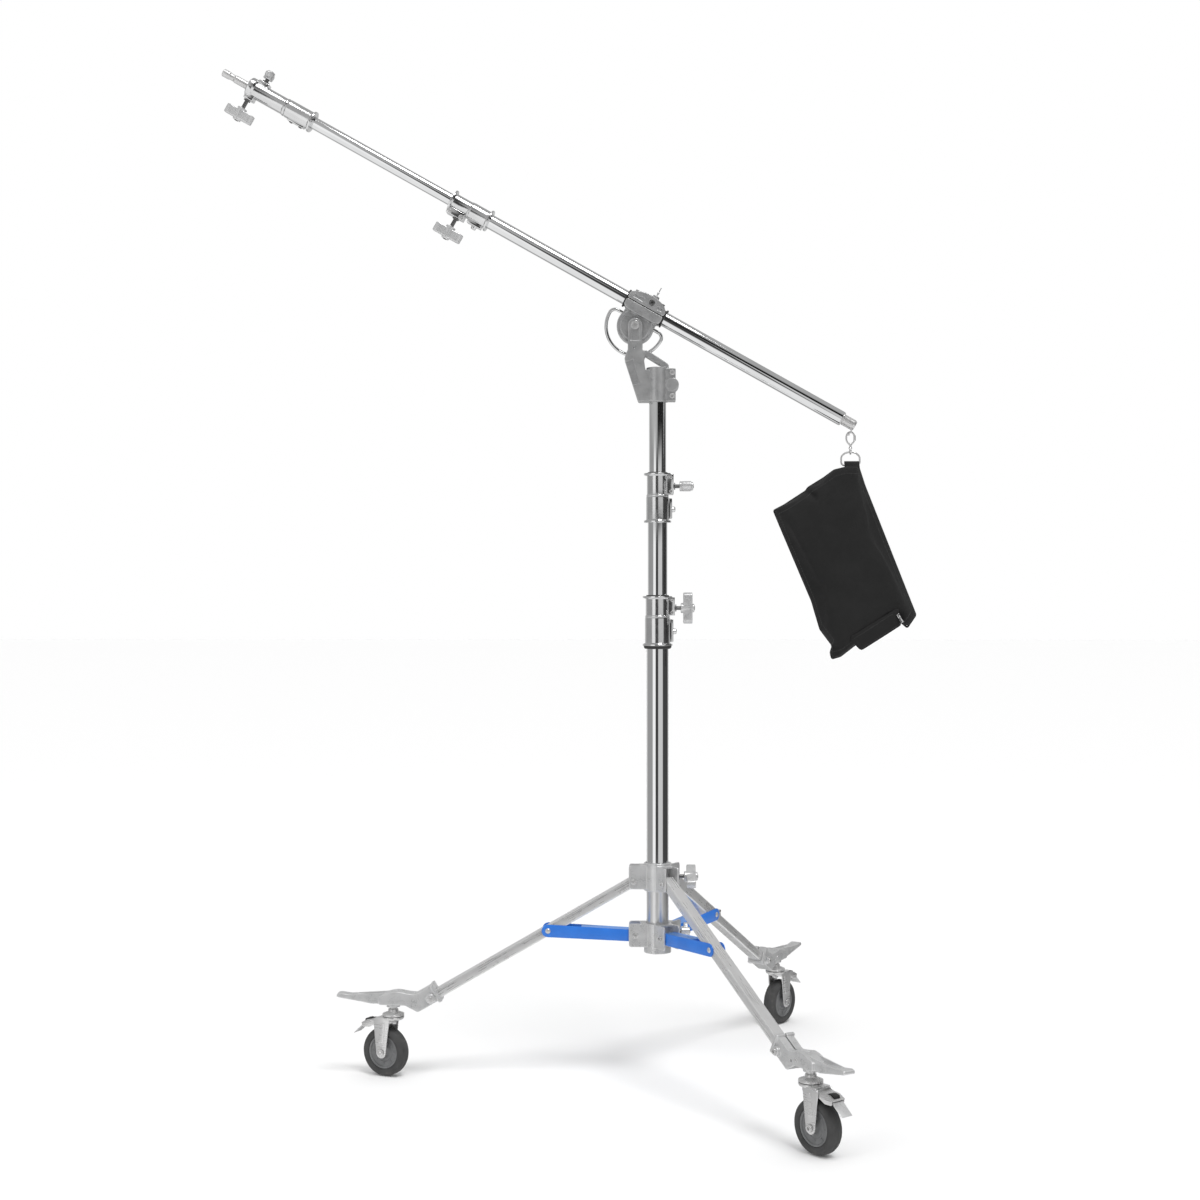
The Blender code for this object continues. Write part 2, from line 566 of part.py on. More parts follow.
# ---- bracket and tilt head ----
def build_bracket(root):
    px, pz = TILT_PIVOT
    barrel = turned([(0.0180, 1.4615), (0.0230, 1.4615), (0.0230, 1.3910), (0.0180, 1.3910)], closed=True)
    arm = plate([(-0.0150, 1.3910), (-0.0400, 1.3910), (-0.0680, 1.4780), (-0.0660, 1.4860),
                 (-0.0600, 1.5000), (-0.0340, 1.5000), (-0.0240, 1.4900), (-0.0280, 1.4780),
                 (-0.0250, 1.4560), (-0.0150, 1.4560)], -0.0190, 0.0190)
    strut = plate([(-0.0320, 1.4960), (-0.0200, 1.4960), (0.0190, 1.4700), (0.0228, 1.4660),
                   (0.0228, 1.4560), (0.0060, 1.4560), (0.0060, 1.4650), (-0.0260, 1.4850)], -0.0140, 0.0140)
    cheeks = []
    for s in (-1, 1):
        y0, y1 = (0.0115, 0.0190) if s > 0 else (-0.0190, -0.0115)
        outline = arc((px, pz), 0.0150, 0, 180, 8) + [(px - 0.0150, 1.4850), (px + 0.0150, 1.4850)]
        cheeks.append(plate(outline, y0, y1))
    ears = box((0.0130, -0.0150, 1.3920), (0.0370, 0.0150, 1.4590))
    knuckle = cross_pin((0.0300, 1.4255), 0.0185, 0.0135, 12)
    body = join(arm, strut, barrel, ears, knuckle, *cheeks)
    bore = cylinder((0, 0, 1.38), (0, 0, RISER_2_TOP + 0.0015), 0.0180, SIDES)
    split = box((0.0160, -0.0015, 1.38), (0.0480, 0.0015, 1.48))
    swing = cylinder((px, -0.0112, pz), (px, 0.0112, pz), 0.0405, 20)
    arc_slot = cylinder((px, -0.0048, pz), (px, 0.0048, pz), ARC_RADIUS + 0.0050, 24)
    pivot_hole = cylinder((px, -0.03, pz), (px, 0.03, pz), 0.0053, 16)
    panels = []
    for s in (-1, 1):
        y0, y1 = (0.0165, 0.03) if s > 0 else (-0.03, -0.0165)
        panels.append(box((-0.0600, y0, 1.4280), (-0.0430, y1, 1.4740), radians(-14), (-0.0515, 1.4510)))
    body = cut(body, bore, split, swing, arc_slot, pivot_hole, *panels)
    bolts = [cross_pin((0.0300, z), 0.0190, 0.0052) for z in (1.4020, 1.4500)]
    part("bracket", join(body, *bolts), "casting", root)
    bolt = join(
        cylinder((0, -0.0200, 0), (0, 0.0200, 0), 0.0050, 16),
        cylinder((0, -0.0250, 0), (0, -0.0193, 0), 0.0095, 12),
        cylinder((0, 0.0193, 0), (0, 0.0270, 0), 0.0095, 6),
    )
    part("tilt_bolt", bolt, "satin", root).location = (px, 0, pz)


def build_tilt_head(boom):
    """In the boom's frame: the two clamp halves, their liner and the locking arc."""
    axis, bore, half = BOOM_OFFSET, 0.0172, 0.042
    disc = cylinder((0, -0.0108, 0), (0, 0.0108, 0), 0.0380, 28)
    neck = box((-0.0330, -0.0108, 0.0050), (0.0330, 0.0108, 0.0300))
    base = plate([(-half, axis - 0.0006), (-half, 0.0270), (-0.0300, 0.0215), (0.0300, 0.0215),
                  (half, 0.0270), (half, axis - 0.0006)], -0.0215, 0.0215, 0.0015)
    lugs = [box((x - 0.006, -0.0070, 0.0060), (x + 0.006, 0.0070, 0.0240)) for x in (-0.0300, 0.0300)]
    base = join(base, disc, neck, *lugs)
    bore_cut = cylinder((-0.06, 0, axis), (0.06, 0, axis), bore, SIDES)
    hole = cylinder((0, -0.03, 0), (0, 0.03, 0), 0.0053, 16)
    rod_holes = [cylinder((s * 0.028, 0, 0.012), (s * 0.050, 0, 0.012), 0.0039, 12) for s in (-1, 1)]
    part("boom_clamp_base", cut(base, bore_cut, hole, *rod_holes), "casting", boom)

    cap = plate([(-half, axis + 0.0006), (half, axis + 0.0006), (half, 0.0540), (0.0300, 0.0640),
                 (0.0120, 0.0690), (-0.0120, 0.0690), (-0.0300, 0.0640), (-half, 0.0560)],
                -0.0215, 0.0215, 0.0015)
    bump = cylinder((0.0080, 0, 0.0640), (0.0080, 0, 0.0760), 0.0080, 14)
    cap = join(cap, bump)
    cap_bore = cylinder((-0.06, 0, axis), (0.06, 0, axis), bore, SIDES)
    part("boom_clamp_cap", cut(cap, cap_bore), "casting", boom)

    inner, outer, rim = BOOM_RADIUS + 0.0004, bore - GAP, 0.0195
    liner = [(inner, half + 0.003), (rim, half + 0.003), (rim, half + GAP), (outer, half + GAP),
             (outer, -half - GAP), (rim, -half - GAP), (rim, -half - 0.003), (inner, -half - 0.003)]
    sleeve = turned(liner, closed=True, along="X")
    sleeve.data.transform(Matrix.Translation((0, 0, axis)))
    part("boom_clamp_liner", sleeve, "plastic", boom)

    hook = 0.012
    bend = arc((ARC_RADIUS - hook, 0), hook, 90, 0, 3)[:-1]
    sweep = arc((0, 0), ARC_RADIUS, 0, -180, 16)
    path = [(0.0350, hook)] + bend + sweep + [(-x, z) for x, z in reversed(bend)] + [(-0.0350, hook)]
    part("tilt_arc", rod([(x, 0, z) for x, z in path], 0.0035), "satin", boom)


# ---- boom ----
def along_boom(shape, x, turn=0.0):
    """Moves a shape that stands on Z = 0 onto the boom's axis, pointing forwards from x."""
    shape.data.transform(Matrix.Rotation(turn, 4, "Z"))
    shape.data.transform(Matrix.Rotation(-pi / 2, 4, "Y"))
    shape.data.transform(Matrix.Translation((x, 0, BOOM_OFFSET)))
    return shape


def build_boom(boom):
    axis = (0, 0, BOOM_OFFSET)
    outer = tube(BOOM_RADIUS, 0.0012, BOOM_FRONT, BOOM_REAR, along="X")
    outer.data.transform(Matrix.Translation(axis))
    part("boom_tube", outer, "chrome", boom)
    inner = tube(BOOM_INNER_RADIUS, 0.0015, INNER_FRONT, INNER_REAR, along="X")
    inner.data.transform(Matrix.Translation(axis))
    part("boom_extension", inner, "chrome", boom)

    plug_in = BOOM_RADIUS - 0.0012 - GAP
    plug = turned([(0, 0.4940), (0.0085, 0.4940), (0.0110, 0.4900), (0.0110, 0.4640), (0.0145, 0.4640),
                   (0.0145, 0.4623), (plug_in, 0.4623), (plug_in, 0.4420), (0, 0.4420)], 14, along="X")
    plug.data.transform(Matrix.Translation(axis))
    tab = box((0.4905, -0.0080, 0.0190), (0.4930, 0.0080, 0.0345))
    eye = cylinder((0.4800, 0, 0.0265), (0.5000, 0, 0.0265), 0.0046, 12)
    part("boom_end_plug", cut(join(plug, tab), eye), "satin", boom)

    length = 0.0890
    collar = collar_body(length, 0.0450, BOOM_RADIUS + GAP, BOOM_INNER_RADIUS + 2 * GAP)
    collar = along_boom(collar, -0.3690, pi)
    part("boom_collar", collar, "casting", boom)
    reach = BOOM_RADIUS + GAP + 0.0125 + GAP
    knob_x = -0.3690 - (0.0450 + length) / 2 + 0.003
    place_knob("boom_collar_knob", BOOM_KNOB, boom, (knob_x, 0, BOOM_OFFSET - reach), (0, 0, -1), 90)

    bore, stud = BOOM_INNER_RADIUS + GAP, 0.0083
    profile = [(stud, 0.1530), (0.0190, 0.1530), (0.0215, 0.1500), (0.0215, 0.1420), (0.0175, 0.1380),
               (0.0175, 0.0640), (0.0190, 0.0600), (0.0190, 0.0060), (0.0225, 0.0040), (0.0225, 0),
               (bore, 0), (bore, 0.0610), (stud, 0.0610)]
    head = turned(profile, closed=True)
    pads = [box((0.0120, -0.0110, 0.1300), (0.0250, 0.0110, 0.1510)),
            box((-0.0230, -0.0100, 0.1150), (-0.0120, 0.0100, 0.1390))]
    head = join(head, *pads)
    holes = [
        cylinder((0, 0, 0.0600), (0, 0, 0.1600), stud, SIDES),
        cylinder((0.0060, 0, 0.1430), (0.0400, 0, 0.1430), 0.0045, 8),
        cylinder((-0.0060, 0, 0.1270), (-0.0400, 0, 0.1270), 0.0045, 8),
    ]
    part("boom_head", along_boom(cut(head, *holes), -0.7900, pi), "casting", boom)
    place_knob("head_knob", BOOM_KNOB, boom, (-0.9330, 0, BOOM_OFFSET - 0.0253), (0, 0, -1), 90)
    place_knob("head_lock_knob", SMALL_KNOB, boom, (-0.9170, 0, BOOM_OFFSET + 0.0233), (0, 0, 1), 0)
    pin = turned([(0, 0.1050), (0.0070, 0.1050), (0.0080, 0.1040), (0.0080, 0.0900), (0.0068, 0.0870),
                  (0.0068, 0.0780), (0.0080, 0.0750), (0.0080, 0), (0, 0)], 14)
    part("spigot", along_boom(pin, -0.9000), "chrome", boom, (-0.9000, 0, BOOM_OFFSET))


# ---- counterweight ----
def build_bag(root):
    """The snap hook on the plug's tab, the D-ring in the hook's eye, and the bag below it."""
    wire = 0.0018
    loop_centre, loop_half = Vector((0.3950, 0, 1.3160)), (0.0085, 0.0125)
    turn = arc((0, 0), 1, 0, 330, 11)
    loop = [loop_centre + Vector((loop_half[0] * x, 0, loop_half[1] * z)) for x, z in turn]
    eye_centre, eye_radius = Vector((0.3950, 0, 1.2895)), 0.0060
    eye = [eye_centre + eye_radius * Vector((0, y, z)) for y, z in arc((0, 0), 1, 0, 315, 7)]
    shank = cylinder((0.3950, 0, 1.2945), (0.3950, 0, 1.3045), 0.0028, 12)
    hook = join(shank, rod(loop, wire, True), rod(eye, wire, True))
    part("snap_hook", hook, "satin", root, (0.3950, 0, 1.3270))

    half_round = [(0.0190 * x, 0.0135 * z) for x, z in arc((0, 0), 1, 0, 180, 10)]
    ring = [(-0.0190, -0.0135), (0.0190, -0.0135)] + half_round
    ring_top = 1.2873
    ring = [(0.3950 + x, 0, ring_top - 0.0135 + z) for x, z in ring]
    part("d_ring", rod(ring, wire, True), "satin", root, (0.3950, 0, 1.2855))

    outline = [(0.3890, 1.2555), (0.4120, 1.2555), (0.5265, 0.9560), (0.5110, 0.9270), (0.4950, 0.9350),
               (0.4150, 0.8830), (0.3600, 0.8650), (0.3360, 0.9190), (0.3169, 0.9845), (0.2400, 1.1655),
               (0.3061, 1.2115), (0.3600, 1.2500)]
    part("sandbag", plate(outline, -BAG_HALF, BAG_HALF, 0.0100), "fabric", root, (0.3950, 0, 1.2855))


# ---- the whole stand ----
def caster_and_foot_meshes():
    shapes = caster_shapes()
    shapes["pedal"].data.transform(Matrix.Translation(-Vector(PEDAL_PIVOT)))
    meshes = {piece: finished(shape, CASTER_FINISH[piece]) for piece, shape in shapes.items()}
    meshes["foot"] = finished(foot_shape(), "casting")
    return meshes


for old in list(bpy.data.objects):
    bpy.data.objects.remove(old)
bpy.context.scene.collection.children.link(MAIN)
bpy.context.scene.collection.children.link(CUTTERS)
MATERIALS = {name: material(name, *values) for name, values in FINISHES.items()}
KNOB = finished(t_knob(0.0120), "casting")
BOOM_KNOB = finished(t_knob(0.0200), "casting")
SMALL_KNOB = finished(t_knob(0.0080, 0.0380, 0.0140, 0.0180), "casting")

stand = empty("stand", None, (COLUMN_X, 0, 0))
build_column(stand)
build_collars(stand)
SHARED = caster_and_foot_meshes()
for leg_name, leg_azimuth in LEGS.items():
    build_leg(leg_name, leg_azimuth, stand, SHARED)
build_bracket(stand)
boom_axis = empty("boom_axis", stand, (TILT_PIVOT[0], 0, TILT_PIVOT[1]), (0, BOOM_SLOPE, 0))
build_tilt_head(boom_axis)
build_boom(boom_axis)
build_bag(stand)
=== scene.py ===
"""The looks of a rolling studio boom stand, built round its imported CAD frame. Metres, +Z up.

Each piece is modelled in a local frame, which the CAD frame's joints place:
  STAND    as the world, with its origin on the floor under the column
  leg      X runs outwards from the column, Z up, the origin under the column
  caster   X runs back to the trailing wheel, Z up, the origin under the stem
  BOOM     X runs back down the boom, Z out from it, the origin on the tilt axis
  ROD      Z runs forwards along the boom's own axis, X to its underside
Castings are solids joined, remeshed and smoothed, so that their edges are round.
"""

import json
from math import atan2, cos, hypot, pi, radians, sin

import bmesh
import bpy
from mathutils import Matrix, Vector, noise


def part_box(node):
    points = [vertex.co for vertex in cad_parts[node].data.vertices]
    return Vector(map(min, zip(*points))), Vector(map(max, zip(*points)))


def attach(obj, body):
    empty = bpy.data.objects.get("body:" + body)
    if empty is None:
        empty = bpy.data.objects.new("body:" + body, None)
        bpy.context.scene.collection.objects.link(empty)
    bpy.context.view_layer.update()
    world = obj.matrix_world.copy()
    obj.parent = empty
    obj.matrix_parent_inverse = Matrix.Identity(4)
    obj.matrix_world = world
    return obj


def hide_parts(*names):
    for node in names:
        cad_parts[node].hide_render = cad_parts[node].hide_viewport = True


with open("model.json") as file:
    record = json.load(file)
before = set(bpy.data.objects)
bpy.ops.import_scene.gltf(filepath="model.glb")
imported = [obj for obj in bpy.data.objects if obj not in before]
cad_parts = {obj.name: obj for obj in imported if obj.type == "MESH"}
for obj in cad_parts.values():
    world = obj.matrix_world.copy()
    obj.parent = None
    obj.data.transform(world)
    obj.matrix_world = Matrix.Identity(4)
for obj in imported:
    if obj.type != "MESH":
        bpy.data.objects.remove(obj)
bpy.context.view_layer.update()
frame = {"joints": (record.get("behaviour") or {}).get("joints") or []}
JOINTS = {joint["name"]: joint for joint in frame["joints"]}

# ---- driving dimensions ----
BASE_RADIUS, RISER_1_RADIUS, RISER_2_RADIUS, WALL = 0.0225, 0.0200, 0.0175, 0.0015
LEG_ANGLE = radians(30)
LEG_WIDTH, LEG_HEIGHT = 0.025, 0.020
SLEEVE_WIDTH, SLEEVE_HEIGHT, SLEEVE_WALL, SLEEVE_END = 0.030, 0.025, 0.002, 0.226
LEG_TOP, INNER_LEG_TOP, LEG_END = -0.0105, 0.070, 0.497
BRACE_PIN_ALONG = 0.2035
STEM_OUT = 0.546
WHEEL_RADIUS, TRAIL = 0.050, 0.018
FORK_INSIDE, FORK_WALL = 0.0172, 0.0026
PEDAL_PIVOT = (0.0300, 0.1120)
BOOM_OFFSET, BOOM_RADIUS, BOOM_WALL, BOOM_INNER_RADIUS = 0.042, 0.015, 0.0012, 0.0125
COLLAR_AT, HEAD_AT, SPIGOT_AT = 0.369, 0.790, 0.900
ARC_RADIUS = 0.060
LUG_REACH, EAR = 0.0590, 0.0040
GAP = 0.0003
LEGS = ("left", "front", "rear")


# ---- frames ----
def framed(origin, x_axis, z_axis):
    x, z = Vector(x_axis).normalized(), Vector(z_axis).normalized()
    made = Matrix((x, z.cross(x), z)).transposed().to_4x4()
    made.translation = origin
    return made


def facing(direction):
    """The turn that brings +Z to a direction."""
    return Vector(direction).to_track_quat("Z", "Y").to_matrix().to_4x4()


UP = Vector((0, 0, 1))
low_corner, high_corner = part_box("riser_1")
COLUMN = Vector(((low_corner.x + high_corner.x) / 2, (low_corner.y + high_corner.y) / 2, 0))
STAND = Matrix.Translation(COLUMN)
boom_forwards = Vector(JOINTS["boom_slide"]["axis"])
BOOM = framed(JOINTS["boom_tilt"]["pos_m"], -boom_forwards, (-boom_forwards).cross(Vector((0, 1, 0))))
ROD = BOOM @ Matrix.Translation((0, 0, BOOM_OFFSET)) @ framed((0, 0, 0), (0, 0, -1), (-1, 0, 0))


def leg_frame(leg):
    return framed(COLUMN, Vector(JOINTS[leg + "_leg_hinge"]["axis"]).cross(UP), UP)


def caster_frame(leg):
    stem = Vector(JOINTS[leg + "_swivel"]["pos_m"])
    wheel = Vector(JOINTS[leg + "_wheel_spin"]["pos_m"])
    return framed((stem.x, stem.y, 0), (wheel.x - stem.x, wheel.y - stem.y, 0), UP)


def pivot_of(name):
    """A leg joint's place in its leg's frame, as its radius and height."""
    place = Vector(JOINTS[name]["pos_m"]) - COLUMN
    return hypot(place.x, place.y), place.z


LEG_PIVOT = pivot_of("left_leg_hinge")
BRACE_PIVOT = pivot_of("left_brace_hinge")
ALONG_LEG = Matrix.Translation((LEG_PIVOT[0], 0, LEG_PIVOT[1])) @ Matrix.Rotation(LEG_ANGLE, 4, "Y")


# ---- materials ----
def feed(links, value, socket):
    """A number set on a node's socket, or another node's output linked to it."""
    if isinstance(value, (int, float)):
        socket.default_value = value
    else:
        links.new(value, socket)


def maths_node(nodes, links, operation, first, second):
    made = nodes.new("ShaderNodeMath")
    made.operation = operation
    for socket, value in zip(made.inputs, (first, second)):
        feed(links, value, socket)
    return made.outputs["Value"]


class Finish:
    """A Principled material and the few node chains that all the finishes share."""

    def __init__(self, name, colour, roughness, metallic=0.0, **sockets):
        self.material = bpy.data.materials.new(name)
        self.material.use_nodes = True
        self.nodes, self.links = self.material.node_tree.nodes, self.material.node_tree.links
        self.shader = self.nodes["Principled BSDF"]
        self.shader.inputs["Base Color"].default_value = (*colour, 1)
        self.shader.inputs["Roughness"].default_value = roughness
        self.shader.inputs["Metallic"].default_value = metallic
        for socket, value in sockets.items():
            self.shader.inputs[socket.replace("_", " ")].default_value = value
        self.place = self.nodes.new("ShaderNodeTexCoord").outputs["Object"]

    def stretched(self, scale):
        mapping = self.nodes.new("ShaderNodeMapping")
        mapping.inputs["Scale"].default_value = scale
        self.links.new(self.place, mapping.inputs["Vector"])
        return mapping.outputs["Vector"]

    def grain(self, scale, detail=3.0, stretch=(1, 1, 1)):
        made = self.nodes.new("ShaderNodeTexNoise")
        made.inputs["Scale"].default_value = scale
        made.inputs["Detail"].default_value = detail
        self.links.new(self.stretched(stretch), made.inputs["Vector"])
        return made.outputs["Fac"]

    def span(self, value, low, high, to_low, to_high):
        made = self.nodes.new("ShaderNodeMapRange")
        for socket, number in zip(list(made.inputs)[1:5], (low, high, to_low, to_high)):
            socket.default_value = number
        self.links.new(value, made.inputs["Value"])
        return made.outputs["Result"]

    def tones(self, value, *stops):
        made = self.nodes.new("ShaderNodeValToRGB")
        ramp = made.color_ramp.elements
        while len(ramp) < len(stops):
            ramp.new(0.5)
        for element, (position, colour) in zip(ramp, stops):
            element.position, element.color = position, (*colour, 1)
        self.links.new(value, made.inputs["Fac"])
        return made.outputs["Color"]

    def maths(self, operation, first, second):
        return maths_node(self.nodes, self.links, operation, first, second)

    def worn_and_highlit(self, colour, edge, low=0.52, high=0.60):
        """The colour, with a lighter one along the outer edges: partly rubbed wear, partly a painted
        highlight where the edges catch light.
        """
        made = self.nodes.new("ShaderNodeMix")
        made.data_type = "RGBA"
        sharp = self.nodes.new("ShaderNodeNewGeometry").outputs["Pointiness"]
        self.links.new(self.span(sharp, low, high, 0.0, 1.0), made.inputs["Factor"])
        self.links.new(colour, made.inputs["A"])
        made.inputs["B"].default_value = (*edge, 1)
        return made.outputs["Result"]

    def raised(self, *heights):
        """A chain of bumps from (height, strength, distance)."""
        normal = None
        for height, strength, distance in heights:
            bump = self.nodes.new("ShaderNodeBump")
            bump.inputs["Strength"].default_value = strength
            bump.inputs["Distance"].default_value = distance
            self.links.new(height, bump.inputs["Height"])
            if normal:
                self.links.new(normal, bump.inputs["Normal"])
            normal = bump.outputs["Normal"]
        self.links.new(normal, self.shader.inputs["Normal"])

    def set(self, socket, value):
        self.links.new(value, self.shader.inputs[socket])


def grey(level, tint=0.0):
    return (level - tint, level, level + tint)


def chrome_finish():
    made = Finish("chrome_plate", grey(0.80), 0.07, 1.0)
    smudge = made.grain(9.0, 5.0)
    made.set("Base Color", made.tones(smudge, (0.3, grey(0.78, 0.006)), (0.7, grey(0.90, 0.004))))
    made.set("Roughness", made.span(smudge, 0.35, 0.75, 0.035, 0.11))
    draw_lines = made.grain(700.0, 2.0, (1, 1, 0.02))
    made.raised((draw_lines, 0.02, 0.0002), (made.grain(14.0, 2.0), 0.04, 0.001))
    return made.material


def base_tube_finish():
    """Chrome above the leg collar, and a satin zone below it that the collar has rubbed."""
    made = Finish("base_tube_plate", grey(0.80), 0.1, 1.0)
    height = made.nodes.new("ShaderNodeSeparateXYZ")
    made.links.new(made.place, height.inputs["Vector"])
    smudge = made.grain(9.0, 5.0)
    wavering = made.maths("ADD", height.outputs["Z"], made.maths("MULTIPLY", made.grain(60.0), 0.006))
    rubbed = made.span(wavering, 0.430, 0.418, 0.0, 1.0)
    gloss = made.span(smudge, 0.35, 0.75, 0.035, 0.11)
    made.set("Roughness", made.maths("ADD", gloss, made.maths("MULTIPLY", rubbed, 0.24)))
    made.set("Base Color", made.tones(rubbed, (0.0, grey(0.86, 0.005)), (1.0, grey(0.80))))
    scuffs = made.grain(900.0, 2.0, (1, 1, 0.03))
    made.raised((scuffs, 0.04, 0.0002))
    return made.material


def satin_finish():
    made = Finish("satin_nickel", grey(0.66), 0.33, 0.72)
    cloud = made.grain(30.0, 4.0)
    brushed = made.grain(420.0, 3.0, (0.03, 1, 1))
    base = made.tones(cloud, (0.3, grey(0.62, -0.004)), (0.7, grey(0.71, -0.002)))
    made.set("Base Color", made.worn_and_highlit(base, grey(0.86)))
    made.set("Roughness", made.maths("ADD", made.span(brushed, 0.3, 0.7, 0.24, 0.36),
                                     made.span(cloud, 0.3, 0.7, -0.03, 0.05)))
    made.raised((brushed, 0.10, 0.0002), (made.grain(160.0, 2.0), 0.05, 0.0004))
    return made.material


def casting_finish(name="cast_aluminium", dark=0.35, light=0.47, edge=0.66, pitting=0.22):
    """Bead-blasted die castings: partly mirror, partly matt."""
    made = Finish(name, grey(light), 0.34, 0.55)
    cloud, pits = made.grain(45.0, 5.0), made.grain(900.0, 3.0)
    base = made.tones(cloud, (0.25, grey(dark, 0.003)), (0.75, grey(light, 0.001)))
    made.set("Base Color", made.worn_and_highlit(base, grey(edge)))
    made.set("Roughness", made.maths("ADD", made.span(pits, 0.3, 0.7, 0.25, 0.38),
                                     made.span(cloud, 0.3, 0.7, -0.03, 0.05)))
    made.raised((pits, pitting, 0.0004), (made.grain(220.0, 2.0), 0.14, 0.0008))
    return made.material


def bright_casting_finish():
    """The plated collars and knobs, smoother and brighter than the grey castings."""
    made = Finish("plated_casting", grey(0.70), 0.24, 1.0)
    cloud, pits = made.grain(40.0, 4.0), made.grain(700.0, 2.0)
    base = made.tones(cloud, (0.25, grey(0.72, 0.003)), (0.75, grey(0.82, 0.002)))
    made.set("Base Color", made.worn_and_highlit(base, grey(0.92)))
    made.set("Roughness", made.span(cloud, 0.3, 0.7, 0.11, 0.19))
    made.raised((pits, 0.08, 0.0003), (made.grain(120.0, 2.0), 0.10, 0.0008))
    return made.material


def paint_finish():
    made = Finish("blue_powder_coat", (0.024, 0.200, 0.690), 0.38, Coat_Weight=0.25, Coat_Roughness=0.25)
    cloud, peel = made.grain(26.0, 4.0), made.grain(1100.0, 2.0)
    base = made.tones(cloud, (0.3, (0.012, 0.150, 0.600)), (0.7, (0.018, 0.185, 0.700)))
    # Lighter blue along the edges: partly rubbed paint, partly a painted highlight.
    made.set("Base Color", made.worn_and_highlit(base, (0.13, 0.36, 0.86), 0.56, 0.68))
    made.set("Roughness", made.span(peel, 0.3, 0.7, 0.32, 0.45))
    made.raised((peel, 0.12, 0.0003), (made.grain(300.0, 1.0), 0.10, 0.0006))
    return made.material


def rubber_finish():
    made = Finish("tyre_rubber", grey(0.055), 0.70)
    dust, pores = made.grain(55.0, 6.0), made.grain(1500.0, 2.0)
    stops = ((0.35, grey(0.042)), (0.62, grey(0.060)), (0.8, grey(0.105, -0.006)))
    made.set("Base Color", made.tones(dust, *stops))
    made.set("Roughness", made.span(dust, 0.3, 0.7, 0.55, 0.85))
    made.raised((pores, 0.25, 0.0003), (made.grain(260.0, 2.0), 0.12, 0.0006))
    return made.material


def hub_finish():
    made = Finish("moulded_grey_hub", grey(0.17), 0.50)
    cloud, grain = made.grain(70.0, 4.0), made.grain(1300.0, 2.0)
    made.set("Base Color", made.tones(cloud, (0.3, grey(0.145, 0.003)), (0.75, grey(0.20, 0.002))))
    made.set("Roughness", made.span(cloud, 0.3, 0.7, 0.40, 0.60))
    made.raised((grain, 0.18, 0.0003))
    return made.material


def black_finish():
    made = Finish("black_moulding", grey(0.016), 0.45)
    cloud, grain = made.grain(80.0, 4.0), made.grain(1600.0, 2.0)
    made.set("Base Color", made.tones(cloud, (0.3, grey(0.012)), (0.75, grey(0.026))))
    made.set("Roughness", made.span(cloud, 0.3, 0.7, 0.36, 0.58))
    made.raised((grain, 0.15, 0.0003))
    return made.material


def dark_steel_finish():
    made = Finish("dark_steel", grey(0.12), 0.38, 1.0)
    cloud = made.grain(120.0, 4.0)
    made.set("Base Color", made.worn_and_highlit(made.tones(cloud, (0.3, grey(0.09)), (0.75, grey(0.16))), grey(0.45)))
    made.set("Roughness", made.span(cloud, 0.3, 0.7, 0.28, 0.48))
    made.raised((made.grain(800.0, 2.0), 0.10, 0.0003))
    return made.material


def woven_finish(name, dark, light, thread=0.0009, sheen=0.25):
    """A plain weave in the XZ plane, its threads crossing at 45 degrees to the seams' upright."""
    made = Finish(name, dark, 0.82, Sheen_Weight=sheen, Sheen_Roughness=0.45)
    waves = []
    for direction in ((1.0, 0.35, 0.55), (-0.55, 0.35, 1.0)):
        axis = made.nodes.new("ShaderNodeVectorMath")
        axis.operation = "DOT_PRODUCT"
        made.links.new(made.place, axis.inputs[0])
        axis.inputs[1].default_value = direction
        turn = made.maths("MULTIPLY", axis.outputs["Value"], 2 * pi / thread)
        waves.append(made.maths("SINE", turn, 0.0))
    weave = made.span(made.maths("MULTIPLY", *waves), -1.0, 1.0, 0.0, 1.0)
    cloud = made.grain(18.0, 5.0)
    fleck = made.maths("ADD", made.maths("MULTIPLY", weave, 0.45), made.maths("MULTIPLY", cloud, 0.55))
    made.set("Base Color", made.tones(fleck, (0.25, dark), (0.8, light)))
    made.set("Roughness", made.span(cloud, 0.3, 0.7, 0.72, 0.92))
    made.raised((weave, 0.35, 0.0004), (made.grain(90.0, 4.0), 0.25, 0.0015))
    return made.material


def thread_finish():
    made = Finish("thread", grey(0.05), 0.75, Sheen_Weight=0.3)
    twist = made.grain(2500.0, 2.0, (1, 1, 0.3))
    made.set("Base Color", made.tones(twist, (0.3, grey(0.030)), (0.7, grey(0.075))))
    made.raised((twist, 0.30, 0.0002))
    return made.material


MATERIALS = {
    "chrome": chrome_finish(),
    "base_tube": base_tube_finish(),
    "satin": satin_finish(),
    "casting": casting_finish(),
    "silver": casting_finish("silver_casting", 0.58, 0.70, 0.86, 0.10),
    "plated": bright_casting_finish(),
    "paint": paint_finish(),
    "tyre": rubber_finish(),
    "hub": hub_finish(),
    "black": black_finish(),
    "dark_steel": dark_steel_finish(),
    "nylon": woven_finish("black_nylon", grey(0.0042), grey(0.0105), 0.0009, 0.05),
    "webbing": woven_finish("black_webbing", grey(0.008), grey(0.020), 0.0018, 0.1),
    "thread": thread_finish(),
}


# ---- shapes ----
def linked(name, data):
    """An object of this data, in the scene."""
    made = bpy.data.objects.new(name, data)
    bpy.context.scene.collection.objects.link(made)
    return made


def solid(shape):
    bmesh.ops.recalc_face_normals(shape, faces=shape.faces)
    mesh = bpy.data.meshes.new("shape")
    shape.to_mesh(mesh)
    shape.free()
    return linked("shape", mesh)


def mesh_now(obj):
    """The object's mesh as its modifiers leave it."""
    bpy.context.view_layer.update()
    graph = bpy.context.evaluated_depsgraph_get()
    return bpy.data.meshes.new_from_object(obj.evaluated_get(graph))


